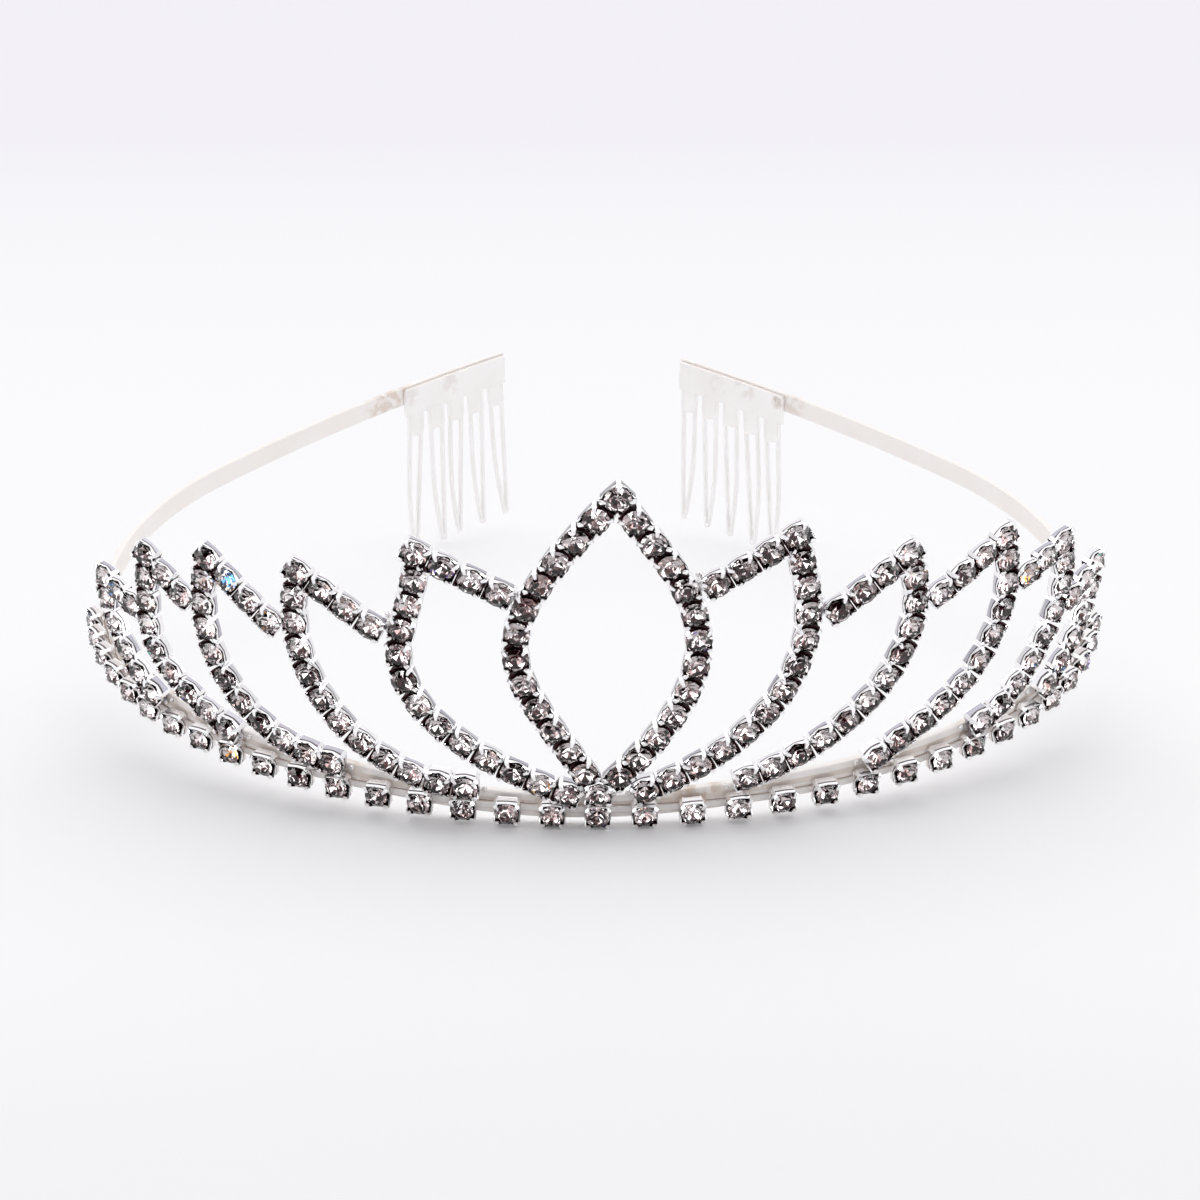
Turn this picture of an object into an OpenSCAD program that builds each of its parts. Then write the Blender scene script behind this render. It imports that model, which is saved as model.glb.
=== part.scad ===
// Rhinestone tiara: eleven petals of claw-set stone chain on a flat strip headband with two end combs.
// Lengths are millimetres. The front faces -Y, +X is the viewer's right, and Z is up.
// Places are given on the face of the tiara as [s, h]: s runs along the headband's middle line from the
// front centre, positive to the right, and h rises from the middle of the base row.

/* [Headband] */
// Width of the flat strip
band_w = 3.0; // [2.6:0.1:3.4]
// Thickness of the strip
band_t = 0.9; // [0.8:0.05:1.0]
// Height of the strip's lower edge against the middle of the base row
band_low = -0.5; // [-0.8:0.1:-0.3]
// Rise of the strip toward the back, in degrees
tilt = 11; // [9:0.5:13]
// Bend radius across the front
front_r = 72; // [68:1:76]
// Bend radius at the temples
temple_r = 51.5; // [49:0.5:54]
// Bend radius behind the temples
rear_r = 58.5; // [56:0.5:61]
// Bend radius of the two ends that carry the combs
end_r = 300; // [250:10:400]
// Length of the front bend on each side of the centre
front_len = 54; // [52:1:56]
// Length of each temple bend
temple_len = 32; // [30:1:34]
// Length of each bend behind the temples
rear_len = 47; // [45:1:49]
// Length of the strip to its left end
left_len = 197; // [195:0.5:199]
// Length of the strip to its right end
right_len = 192; // [190:0.5:194]

/* [Base row] */
// Place of the cup at the front centre
base_middle = -1.3; // [-1.4:0.1:-1.2]
// Spacing of the base cups to the left
base_pitch_left = 5.0; // [4.98:0.01:5.02]
// Spacing of the base cups to the right
base_pitch_right = 5.25; // [5.23:0.01:5.27]
// Cups to the left of the middle one
base_left = 17; // [15:1:17]
// Cups to the right of the middle one
base_right = 16; // [14:1:16]
// Width of the link strip that joins the base cups
strip_w = 0.9; // [0.7:0.1:1.1]

/* [Cups and stones] */
// Side of a square cup
cup_w = 3.0; // [2.9:0.05:3.0]
// Height of a cup's walls from its back
cup_h = 2.0; // [1.9:0.05:2.1]
// Thickness of a cup's floor
cup_floor = 0.6; // [0.55:0.05:0.7]
// Cut off each corner of a cup
cup_chamfer = 0.35; // [0.3:0.05:0.4]
// Width of a claw
claw_w = 0.5; // [0.4:0.05:0.55]
// Diameter of a stone across its corners
stone_d = 2.5; // [2.4:0.05:2.5]
// Width of the link between two close-set cups
link_w = 1.0; // [0.8:0.1:1.4]

/* [Petals] */
// Outward lean of the petals, in degrees
lean = 4; // [3:0.5:5]

/* [Combs] */
// Length of each comb along the strip
comb_len = 23; // [22.5:0.5:24]
// Thickness of a comb's plate
comb_t = 0.6; // [0.5:0.05:0.75]
// Height of the plate's lower edge
comb_low = -2.7; // [-3.2:0.1:-2.4]
// Thickness of a tooth's legs
tooth_d = 0.8; // [0.8:0.05:0.9]
// Spread of the two legs of a tooth at the plate
tooth_w = 2.5; // [2.3:0.1:2.6]
// Length of the solid root above a tooth's slot
root_len = 3.5; // [3:0.5:5]
// Inward lean of the teeth, in degrees
tooth_lean = 7; // [5:0.5:9]

/* [Hidden] */

// Bends of the strip from the front centre to either end. Columns: radius, length. The last bend's
// length only has to reach past both ends.
past_end = 200;
BENDS = [[front_r, front_len], [temple_r, temple_len], [rear_r, rear_len], [end_r, past_end]];

// Columns of the petal tables. A side strand bends as a curve pulled by its upper and lower handle.
TIP = 0;
TOP_END = 1;
UPPER = 2;
LOWER = 3;
FOOT = 4;
TOP_STEPS = 5;
SIDE_STEPS = 6;

// Left petals from the centre out: tip, end of the top chain, upper handle, lower handle, foot, steps
LEFT = [
    [[-19.9, 32.8], [-11.4, 28.8], [-19.4, 23.4], [-31.9, 14.4], [-4.6, 3.0], 3, 12],
    [[-33.4, 28.0], [-25.3, 22.9], [-38.9, 7.5], [-19.1, 2.0], [-15.8, 3.1], 3, 11],
    [[-45.4, 26.6], [-37.8, 20.7], [-53.2, 5.6], [-31.6, 2.7], [-31.7, 3.3], 3, 10],
    [[-55.8, 23.6], [-50.4, 20.1], [-57.8, 10.6], [-60.3, 10.1], [-46.0, 3.5], 2, 8],
    [[-66.6, 16.2], [-60.5, 15.0], [-70.1, 10.3], [-58.8, 2.1], [-59.6, 3.1], 2, 5]
];
// Right petals from the centre out, with the same columns
RIGHT = [
    [[18.6, 34.7], [10.5, 29.8], [18.7, 31.1], [28.5, 14.4], [3.9, 3.5], 3, 12],
    [[31.9, 30.1], [24.0, 24.7], [38.2, 14.7], [24.2, 6.7], [15.0, 4.1], 3, 11],
    [[45.2, 28.6], [36.8, 23.9], [52.2, 9.7], [33.5, 6.3], [31.0, 3.5], 3, 10],
    [[56.3, 24.2], [50.3, 22.1], [62.7, 11.4], [47.2, 2.5], [46.4, 3.4], 2, 8],
    [[67.4, 16.7], [61.4, 14.6], [67.6, 9.4], [63.9, 7.6], [59.3, 3.2], 2, 5]
];
// The centre petal's two sides run from its tip to its foot: tip, upper handle, lower handle, foot
CENTRE_LEFT = [[0.4, 40.5], [-17.1, 20.3], [-8.5, 17.8], [-1.2, 3.1]];
CENTRE_RIGHT = [[0.4, 40.5], [6.9, 29.9], [16.7, 21.7], [-1.2, 3.1]];
CENTRE_STEPS = 13;
CENTRE_TIP_ROLL = 45;

// Slant of each comb's teeth toward the front of the tiara, in degrees, from the front tooth back
LEFT_SLANT = [9, 4, 6, 3.5, 1];
RIGHT_SLANT = [9.5, 10, 8, 6.5, 4.5];

// How far the back of a cup stands out from the strip's middle line
base_sink = 0.15;
seat_base = band_t / 2 - base_sink;
seat_petal = band_t / 2;
// The base row's link strip stands this far proud of the headband's strip
link_strip_rise = 0.3;

// A stone: its widest level above the cup's back, the heights above and below it, the table's share
// of the width, and the clear gap round it
girdle = cup_h - 0.1;
stone_crown = 0.4;
stone_pavilion = 1.1;
table_ratio = 0.58;
stone_gap = 0.1;

// A claw: how far its faces and its hooked tip lie from the stone's edge, where it starts below the
// cup's rim, and the levels of its bend and tip above the rim
claw_inner = 0.15;
claw_outer = 0.55;
claw_hook = 0.25;
claw_root = 0.4;
claw_bend = 0.05;
claw_top = 0.42;
claw_tip_top = 0.36;
claw_tip_low = 0.2;

// Link between two cups: how far it bites into each, its level above the cups' backs, its thickness
link_bite = 0.35;
link_low = 0.15;
link_t = 0.3;

// A comb: its gap to the strip, how far its plate stays below the strip's upper edge and short of the
// strip's end, how far a tooth's root runs up into the plate, the radius of its tip, and the place,
// spread and bow of the knee in its legs
comb_gap = 0.06;
comb_drop = 0.2;
end_gap = 0.3;
root_bite = 1;
tip_r = tooth_d / 2 + 0.05;
knee_at = 0.6;
knee_spread = 0.42;
knee_bow = 0.4;

// Points that measure a bent strand, and the length of one flat of the bent strip
curve_steps = 40;
chord = 2.5;

// Middle of the whole tiara's outline, so that the origin is under its centre
centre_x = -0.394;
centre_y = 62.378;

BASE_STATIONS = [
    for (i = [-base_left:base_right])
        base_middle + i * (i < 0 ? base_pitch_left : base_pitch_right)
];

// Walks a distance along the bends and returns x, y and the heading there
function walk(run, i = 0, x = 0, y = 0, turn = 0) =
    let (r = BENDS[i][0], here = min(run, BENDS[i][1]), to = turn + here / r * 180 / PI,
         nx = x + r * (sin(to) - sin(turn)), ny = y + r * (cos(turn) - cos(to)))
    run <= BENDS[i][1] ? [nx, ny, to] : walk(run - here, i + 1, nx, ny, to);

// Place and heading on the strip's middle line at s, the same on both sides of the centre
function on_line(s) =
    let (end = walk(abs(s)), side = s < 0 ? -1 : 1)
    [side * end.x, end.y, side * end.z];

function along(s) = let (at = on_line(s)) [cos(at.z), sin(at.z), 0];

// Point of the leaning face at s and h, a distance out from the strip's middle line
function face_point(s, h, out) =
    let (at = on_line(s), away = out * cos(lean) + h * sin(lean))
    [at.x + away * sin(at.z), at.y - away * cos(at.z), h * cos(lean) - out * sin(lean)];

// Height of a point of the headband once it is tilted, against the front centre of its base row
function tilted_z(p) = p.y * sin(tilt) + p.z * cos(tilt);

function bend_point(p, t) =
    pow(1 - t, 3) * p[0] + 3 * pow(1 - t, 2) * t * p[1] + 3 * (1 - t) * t * t * p[2] + pow(t, 3) * p[3];

// Running length of a list of points in space
function run_lengths(p, i = 0, sum = 0) =
    i == len(p) - 1 ? [sum] : concat([sum], run_lengths(p, i + 1, sum + norm(p[i + 1] - p[i])));

// Evenly spaced stations along a bent strand, measured in space at the stones' level
function stations(p, steps) =
    let (marks = [for (k = [0:curve_steps]) k / curve_steps],
         flat = [for (t = marks) bend_point(p, t)],
         lengths = run_lengths([for (f = flat) face_point(f.x, f.y, seat_petal + girdle)]),
         table = [for (k = [0:curve_steps]) [lengths[k], marks[k]]],
         step = lengths[curve_steps] / steps)
    [for (i = [0:steps]) bend_point(p, lookup(i * step, table))];

// Adds to each station the roll of the strand there: [s, h, roll]
function with_roll(p) =
    [for (i = [0:len(p) - 1])
        let (a = p[max(i - 1, 0)], b = p[min(i + 1, len(p) - 1)])
        [p[i].x, p[i].y, atan2(b.y - a.y, b.x - a.x)]];

function straight(a, b) = [a, a + (b - a) / 3, b - (b - a) / 3, b];

function top_chain(row) = with_roll(stations(straight(row[TIP], row[TOP_END]), row[TOP_STEPS]));

function side_strand(row) =
    with_roll(stations([row[TIP], row[UPPER], row[LOWER], row[FOOT]], row[SIDE_STEPS]));

function petal_cups(row) =
    let (side = side_strand(row))
    concat(top_chain(row), [for (i = [1:len(side) - 1]) side[i]]);

function centre_cups() =
    let (left = with_roll(stations(CENTRE_LEFT, CENTRE_STEPS)),
         right = with_roll(stations(CENTRE_RIGHT, CENTRE_STEPS)), last = CENTRE_STEPS)
    concat([[left[0].x, left[0].y, CENTRE_TIP_ROLL], [left[last].x, left[last].y, 0]],
           [for (i = [1:last - 1]) left[i]], [for (i = [1:last - 1]) right[i]]);

// Half the length of a cup's straight edge
cup_rim = cup_w / 2 - cup_chamfer;
// The tiara stands on its front base cups and the first tooth of each comb
seat_h = -min([for (s = BASE_STATIONS, end = [-cup_rim, cup_rim])
    tilted_z(face_point(s, -cup_w / 2, seat_base + cup_h) + end * along(s))]);

module seated() {
    translate([-centre_x, -centre_y, seat_h]) rotate([tilt, 0, 0]) children();
}

module on_face(s, h, roll, out) {
    at = on_line(s);
    translate([at.x, at.y, 0]) rotate([0, 0, at.z]) rotate([90 + lean, 0, 0])
        translate([0, h, out]) rotate([0, 0, roll]) children();
}

module cup_outline() {
    intersection() {
        square(cup_w, center = true);
        rotate(45) square(cup_w * sqrt(2) - cup_chamfer * sqrt(2), center = true);
    }
}

// A claw stands in the cup's corner and bends over the stone. Its profile is [distance out, height].
module claw() {
    edge = stone_d / 2;
    profile = [
        [edge + claw_inner, cup_h - claw_root], [edge + claw_outer, cup_h - claw_root],
        [edge + claw_outer, cup_h + claw_bend], [edge, cup_h + claw_top],
        [edge - claw_hook, cup_h + claw_tip_top], [edge - claw_hook, cup_h + claw_tip_low],
        [edge + claw_inner, cup_h - claw_bend]
    ];
    rotate([90, 0, 0]) linear_extrude(claw_w, center = true) polygon(profile);
}

module cup() {
    difference() {
        linear_extrude(cup_h) cup_outline();
        translate([0, 0, cup_floor]) cylinder(d = stone_d + 2 * stone_gap, h = cup_h, $fn = 48);
    }
    for (turn = [45:90:315]) rotate([0, 0, turn]) claw();
}

// Eight-sided stone with a table, eight crown facets and eight facets to the point at its back
module stone() {
    r = stone_d / 2;
    ring = [for (k = [0:7]) [cos(k * 45 + 22.5), sin(k * 45 + 22.5)]];
    table_ring = [for (c = ring) [c.x * r * table_ratio, c.y * r * table_ratio, stone_crown]];
    girdle_ring = [for (c = ring) [c.x * r, c.y * r, 0]];
    crown = [for (k = [0:7]) [k, (k + 1) % 8, 8 + (k + 1) % 8, 8 + k]];
    pavilion = [for (k = [0:7]) [8 + k, 8 + (k + 1) % 8, 16]];
    translate([0, 0, girdle])
        polyhedron(concat(table_ring, girdle_ring, [[0, 0, -stone_pavilion]]),
                   concat([[for (k = [7:-1:0]) k]], crown, pavilion));
}

// Short bar between the backs of two neighbouring cups
module link(a, b) {
    length = norm(face_point(b.x, b.y, seat_petal) - face_point(a.x, a.y, seat_petal));
    bar = length - cup_w + 2 * link_bite;
    on_face((a.x + b.x) / 2, (a.y + b.y) / 2, atan2(b.y - a.y, b.x - a.x), seat_petal)
        translate([-bar / 2, -link_w / 2, link_low]) cube([bar, link_w, link_t]);
}

module cups_at(places, out) {
    for (p = places) on_face(p.x, p.y, p.z, out) cup();
}

module stones_at(places, out) {
    for (p = places) on_face(p.x, p.y, p.z, out) stone();
}

module links_along(places) {
    for (i = [1:len(places) - 1]) link(places[i - 1], places[i]);
}

module petal(row) {
    color("silver") seated() {
        cups_at(petal_cups(row), seat_petal);
        links_along(top_chain(row));
        links_along(side_strand(row));
    }
}

module petal_stones(row) {
    color("gainsboro") seated() stones_at(petal_cups(row), seat_petal);
}

// Flat strip bent along the headband: near and far are its two faces, low and high its two edges
module bent_strip(from, to, near, far, low, high) {
    count = ceil((to - from) / chord);
    marks = [for (k = [0:count]) on_line(from + (to - from) * k / count)];
    outer = [for (at = marks) [at.x + far * sin(at.z), at.y - far * cos(at.z)]];
    inner = [for (k = [count:-1:0]) let (at = marks[k]) [at.x + near * sin(at.z), at.y - near * cos(at.z)]];
    translate([0, 0, low]) linear_extrude(high - low) polygon(concat(outer, inner));
}

module headband() {
    last = len(BASE_STATIONS) - 1;
    color("silver") seated() {
        bent_strip(-left_len, right_len, -band_t / 2, band_t / 2, band_low, band_low + band_w);
        bent_strip(BASE_STATIONS[0], BASE_STATIONS[last],
                   0, band_t / 2 + link_strip_rise, -strip_w / 2, strip_w / 2);
        cups_at([for (s = BASE_STATIONS) [s, 0, 0]], seat_base);
    }
}

module base_stones() {
    color("gainsboro") seated() stones_at([for (s = BASE_STATIONS) [s, 0, 0]], seat_base);
}

module petal_centre() {
    color("silver") seated() {
        cups_at(centre_cups(), seat_petal);
        links_along(stations(CENTRE_LEFT, CENTRE_STEPS));
        links_along(stations(CENTRE_RIGHT, CENTRE_STEPS));
    }
}

module stones_centre() {
    color("gainsboro") seated() stones_at(centre_cups(), seat_petal);
}

module rod(a, b, d) {
    v = b - a;
    translate(a) rotate([0, acos(v.z / norm(v)), atan2(v.y, v.x)]) cylinder(d = d, h = norm(v), $fn = 24);
}

// Hairpin tooth: a flat root, then two legs that bow a little and close to one tip
module tooth(drop) {
    root_w = tooth_w + tooth_d;
    translate([-root_w / 2, -comb_t / 2, -root_len]) cube([root_w, comb_t, root_len + root_bite]);
    for (side = [-1, 1]) {
        top = [side * tooth_w / 2, 0, root_bite];
        knee = [side * tooth_w * knee_spread, -knee_bow, -drop * knee_at];
        rod(top, knee, tooth_d);
        rod(knee, [0, 0, -drop], tooth_d);
        translate(knee) sphere(r = tip_r, $fn = 24);
    }
    translate([0, 0, -drop]) sphere(r = tip_r, $fn = 24);
}

// Direction of a tooth's tip in the band's plane: x along the strip, y inward, z up
function tooth_down(slant) = [-sin(slant), cos(slant) * sin(tooth_lean), -cos(slant) * cos(tooth_lean)];

// Length of a comb's teeth: the one nearest the front reaches the surface
function tooth_drop(s, inset, slant) =
    let (at = on_line(s), down = tooth_down(slant), y = down.x * sin(at.z) + down.y * cos(at.z),
         start = at.y + inset * cos(at.z))
    (seat_h + sin(tilt) * start + cos(tilt) * comb_low - tip_r) / -(sin(tilt) * y + cos(tilt) * down.z);

// The right comb lies against the inside of the strip's end, and the left one is its mirror image
module comb(end, slants) {
    inner = band_t / 2 + comb_gap;
    inset = inner + comb_t / 2;
    first = end - comb_len;
    pitch = comb_len / len(slants);
    drop = tooth_drop(first + pitch / 2, inset, slants[0]);
    bent_strip(first, end, -inner - comb_t, -inner, comb_low, band_low + band_w - comb_drop);
    for (k = [0:len(slants) - 1]) {
        at = on_line(first + pitch * (k + 0.5));
        translate([at.x, at.y, 0]) rotate([0, 0, at.z]) translate([0, inset, comb_low])
            rotate([tooth_lean, 0, 0]) rotate([0, slants[k], 0]) tooth(drop);
    }
}

module comb_left() { color("lightgray") seated() mirror([1, 0, 0]) comb(left_len - end_gap, LEFT_SLANT); }
module comb_right() { color("lightgray") seated() comb(right_len - end_gap, RIGHT_SLANT); }
module petal_left_1() { petal(LEFT[0]); }
module petal_left_2() { petal(LEFT[1]); }
module petal_left_3() { petal(LEFT[2]); }
module petal_left_4() { petal(LEFT[3]); }
module petal_left_5() { petal(LEFT[4]); }
module petal_right_1() { petal(RIGHT[0]); }
module petal_right_2() { petal(RIGHT[1]); }
module petal_right_3() { petal(RIGHT[2]); }
module petal_right_4() { petal(RIGHT[3]); }
module petal_right_5() { petal(RIGHT[4]); }
module stones_left_1() { petal_stones(LEFT[0]); }
module stones_left_2() { petal_stones(LEFT[1]); }
module stones_left_3() { petal_stones(LEFT[2]); }
module stones_left_4() { petal_stones(LEFT[3]); }
module stones_left_5() { petal_stones(LEFT[4]); }
module stones_right_1() { petal_stones(RIGHT[0]); }
module stones_right_2() { petal_stones(RIGHT[1]); }
module stones_right_3() { petal_stones(RIGHT[2]); }
module stones_right_4() { petal_stones(RIGHT[3]); }
module stones_right_5() { petal_stones(RIGHT[4]); }

headband();
base_stones();
petal_centre();
stones_centre();
petal_left_1();
stones_left_1();
petal_left_2();
stones_left_2();
petal_left_3();
stones_left_3();
petal_left_4();
stones_left_4();
petal_left_5();
stones_left_5();
petal_right_1();
stones_right_1();
petal_right_2();
stones_right_2();
petal_right_3();
stones_right_3();
petal_right_4();
stones_right_4();
petal_right_5();
stones_right_5();
comb_left();
comb_right();
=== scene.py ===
# Rhinestone tiara: chains of claw-set stones on a flat plated strip with two end combs.
# Lengths below are millimetres unless a comment says metres; MM turns them into metres.
# Places on the tiara's face are (s, h): s runs along the strip's middle line from the front centre,
# positive to the right, and h rises from the middle of the base row.
from math import atan2, ceil, copysign, cos, degrees, pi, radians, sin
from random import Random

import bpy
from mathutils import Euler, Matrix, Vector


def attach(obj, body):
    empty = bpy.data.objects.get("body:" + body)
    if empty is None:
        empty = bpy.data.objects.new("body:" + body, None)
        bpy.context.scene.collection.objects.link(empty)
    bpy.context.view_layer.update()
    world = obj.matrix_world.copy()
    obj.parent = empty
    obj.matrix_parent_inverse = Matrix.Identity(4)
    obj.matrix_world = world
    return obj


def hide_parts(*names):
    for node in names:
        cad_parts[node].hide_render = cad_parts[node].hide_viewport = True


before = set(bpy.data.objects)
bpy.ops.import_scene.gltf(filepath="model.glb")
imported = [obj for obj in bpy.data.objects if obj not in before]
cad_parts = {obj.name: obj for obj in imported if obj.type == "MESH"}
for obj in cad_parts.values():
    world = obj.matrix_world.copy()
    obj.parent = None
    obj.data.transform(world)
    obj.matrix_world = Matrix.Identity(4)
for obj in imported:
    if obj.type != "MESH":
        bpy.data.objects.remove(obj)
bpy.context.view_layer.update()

MM = 0.001

# Headband strip
BAND_W = 3.0
BAND_T = 0.9
BAND_LOW = -0.5
TILT = 11
# Bends of its middle line to both sides of the front centre: radius and length
BENDS = [(72, 54), (51.5, 32), (58.5, 47), (300, 200)]
LEFT_LEN = 197
RIGHT_LEN = 192

# Base row
BASE_MIDDLE = -1.3
PITCH_LEFT = 5.0
PITCH_RIGHT = 5.25
BASE_LEFT = 17
BASE_RIGHT = 16
STRIP_W = 0.9
STRIP_RISE = 0.3

# Cups and stones
CUP_W = 3.0
CUP_H = 2.0
CHAMFER = 0.35
LINK_W = 1.0
GIRDLE = 1.9
LEAN = 4
SEAT_BASE = 0.3
SEAT_PETAL = 0.45
# Share of the strip's turn that a cup is pressed back to the front, about this level of the cup
FRONT_TURN = 0.24
TURN_AT = 1.3

# Combs
COMB_LEN = 23
COMB_T = 0.6
COMB_GAP = 0.06
COMB_LOW = -2.7
COMB_DROP = 0.2
END_GAP = 0.3
TOOTH_D = 0.8
TOOTH_W = 2.5
ROOT_LEN = 3.5
TOOTH_LEAN = 7
TIP_R = 0.45
KNEE_AT = 0.6
KNEE_SPREAD = 0.42
KNEE_BOW = 0.4
LEFT_SLANT = [9, 4, 6, 3.5, 1]
RIGHT_SLANT = [9.5, 10, 8, 6.5, 4.5]

# Petals from the centre out: tip, end of the top chain, upper handle, lower handle, foot, and the
# steps of the top chain and of the side strand
LEFT = [
    ((-19.9, 32.8), (-11.4, 28.8), (-19.4, 23.4), (-31.9, 14.4), (-4.6, 3.0), 3, 12),
    ((-33.4, 28.0), (-25.3, 22.9), (-38.9, 7.5), (-19.1, 2.0), (-15.8, 3.1), 3, 11),
    ((-45.4, 26.6), (-37.8, 20.7), (-53.2, 5.6), (-31.6, 2.7), (-31.7, 3.3), 3, 10),
    ((-55.8, 23.6), (-50.4, 20.1), (-57.8, 10.6), (-60.3, 10.1), (-46.0, 3.5), 2, 8),
    ((-66.6, 16.2), (-60.5, 15.0), (-70.1, 10.3), (-58.8, 2.1), (-59.6, 3.1), 2, 5),
]
RIGHT = [
    ((18.6, 34.7), (10.5, 29.8), (18.7, 31.1), (28.5, 14.4), (3.9, 3.5), 3, 12),
    ((31.9, 30.1), (24.0, 24.7), (38.2, 14.7), (24.2, 6.7), (15.0, 4.1), 3, 11),
    ((45.2, 28.6), (36.8, 23.9), (52.2, 9.7), (33.5, 6.3), (31.0, 3.5), 3, 10),
    ((56.3, 24.2), (50.3, 22.1), (62.7, 11.4), (47.2, 2.5), (46.4, 3.4), 2, 8),
    ((67.4, 16.7), (61.4, 14.6), (67.6, 9.4), (63.9, 7.6), (59.3, 3.2), 2, 5),
]
CENTRE_LEFT = ((0.4, 40.5), (-17.1, 20.3), (-8.5, 17.8), (-1.2, 3.1))
CENTRE_RIGHT = ((0.4, 40.5), (6.9, 29.9), (16.7, 21.7), (-1.2, 3.1))
CENTRE_STEPS = 13
CENTRE_TIP_ROLL = 45
CURVE_STEPS = 40

# Middle of the tiara's outline seen from above, which goes to the origin
CENTRE_X = -0.394
CENTRE_Y = 62.378

BASE_STATIONS = [BASE_MIDDLE + i * (PITCH_LEFT if i < 0 else PITCH_RIGHT)
                 for i in range(-BASE_LEFT, BASE_RIGHT + 1)]


# Places on the strip and on the leaning face

def walk(run):
    """x, y and heading after a run along the bends from the front centre."""
    x = y = turn = 0.0
    for radius, length in BENDS:
        here = min(run, length)
        to = turn + here / radius
        x += radius * (sin(to) - sin(turn))
        y += radius * (cos(turn) - cos(to))
        turn = to
        run -= here
        if run <= 0:
            break
    return x, y, turn


def on_line(s):
    x, y, turn = walk(abs(s))
    side = -1 if s < 0 else 1
    return side * x, y, side * turn


def face_point(s, h, out):
    """Point this far out from the leaning face, before the tiara is tilted and seated."""
    x, y, turn = on_line(s)
    lean = radians(LEAN)
    away = out * cos(lean) + h * sin(lean)
    return Vector((x + away * sin(turn), y - away * cos(turn), h * cos(lean) - out * sin(lean)))


def turned(angle, axis):
    return Matrix.Rotation(radians(angle), 4, axis)


def front_low(s):
    """Height of the lower front edge of a base cup, once tilted, against the middle of the row."""
    x, y, turn = on_line(s)
    rim = CUP_W / 2 - CHAMFER
    edge = face_point(s, -CUP_W / 2, SEAT_BASE + CUP_H)
    ends = [edge + Vector((cos(turn), sin(turn), 0)) * k for k in (-rim, rim)]
    return min(p.y * sin(radians(TILT)) + p.z * cos(radians(TILT)) for p in ends)


SEAT_H = -min(front_low(s) for s in BASE_STATIONS)
SEATED = Matrix.Translation((-CENTRE_X, -CENTRE_Y, SEAT_H)) @ turned(TILT, "X")


def seated_line(s):
    """Frame on the strip's middle line: x along it, y inward, z up."""
    x, y, turn = on_line(s)
    return SEATED @ Matrix.Translation((x, y, 0)) @ Matrix.Rotation(turn, 4, "Z")


def on_strip(s, out=0.0, h=0.0):
    return seated_line(s) @ Matrix.Translation((0, -out, h))


def on_face(s, h, roll, out):
    """Frame of a cup's back: x along the chain, y across it, z out to the front."""
    return (seated_line(s) @ turned(90 + LEAN, "X") @ Matrix.Translation((0, h, out))
            @ turned(roll, "Z"))


def set_frame(s, h, roll, out):
    """Frame of a cup as it was pressed after soldering: turned a little back toward the front."""
    toward = -FRONT_TURN * degrees(on_line(s)[2])
    pivot = Matrix.Translation((0, 0, TURN_AT))
    return (on_face(s, h, 0, out) @ pivot @ turned(toward, "Y") @ pivot.inverted()
            @ turned(roll, "Z"))


def bend_point(p, t):
    """Point at share t of a curve through two ends with two handles."""
    u = 1 - t
    return tuple(u ** 3 * a + 3 * u * u * t * b + 3 * u * t * t * c + t ** 3 * d
                 for a, b, c, d in zip(*p))


def strand(p, steps):
    """Places of a strand's cups as (s, h, roll): evenly spaced along a bend, measured in space at
    the stones' level, with the strand's direction there in degrees."""
    flat = [bend_point(p, k / CURVE_STEPS) for k in range(CURVE_STEPS + 1)]
    space = [face_point(*f, SEAT_PETAL + GIRDLE) for f in flat]
    run = [0.0]
    for a, b in zip(space, space[1:]):
        run.append(run[-1] + (b - a).length)
    places = []
    for i in range(steps + 1):
        goal = run[-1] * i / steps
        k = min(max(sum(r < goal for r in run) - 1, 0), CURVE_STEPS - 1)
        t = (k + (goal - run[k]) / (run[k + 1] - run[k])) / CURVE_STEPS
        places.append(bend_point(p, t))
    rows = []
    for i, (s, h) in enumerate(places):
        a, b = places[max(i - 1, 0)], places[min(i + 1, steps)]
        rows.append((s, h, degrees(atan2(b[1] - a[1], b[0] - a[0]))))
    return rows


def straight(a, b):
    """A straight line in the form of a bend."""
    step = [(b[k] - a[k]) / 3 for k in (0, 1)]
    return (a, (a[0] + step[0], a[1] + step[1]), (b[0] - step[0], b[1] - step[1]), b)


def petal_places(row):
    """Places of a petal's cups, tip first, and its two runs: top chain and side strand."""
    tip, top_end, upper, lower, foot, top_steps, side_steps = row
    top = strand(straight(tip, top_end), top_steps)
    side = strand((tip, upper, lower, foot), side_steps)
    return top + side[1:], [top, side]


def centre_places():
    """The same for the centre: its two ends, then the cups of its left and right side."""
    left = strand(CENTRE_LEFT, CENTRE_STEPS)
    right = strand(CENTRE_RIGHT, CENTRE_STEPS)
    ends = [left[0][:2] + (CENTRE_TIP_ROLL,), left[-1][:2] + (0,)]
    return ends + left[1:-1] + right[1:-1], [left, right]


# Node trees

COLOR, FLOAT, WHOLE = "NodeSocketColor", "NodeSocketFloat", "NodeSocketInt"
MESH, FINISH = "NodeSocketGeometry", "NodeSocketMaterial"


def fill(node, sockets):
    """Gives these inputs of a node a value, or a link from another node's output."""
    for key, value in sockets.items():
        socket = node.inputs[key]
        if isinstance(value, bpy.types.NodeSocket):
            node.id_data.links.new(value, socket)
        elif socket.type == "RGBA":
            socket.default_value = (*value[:3], 1)
        else:
            socket.default_value = value


def put(tree, kind, sockets=None, **values):
    """A node of this kind with its properties and inputs set."""
    node = tree.nodes.new(kind)
    for key, value in values.items():
        setattr(node, key, value)
    fill(node, sockets or {})
    return node


def flow(tree, kind, sockets=None, **values):
    """The first output in use of such a node."""
    return next(s for s in put(tree, kind, sockets, **values).outputs if s.enabled)


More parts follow.
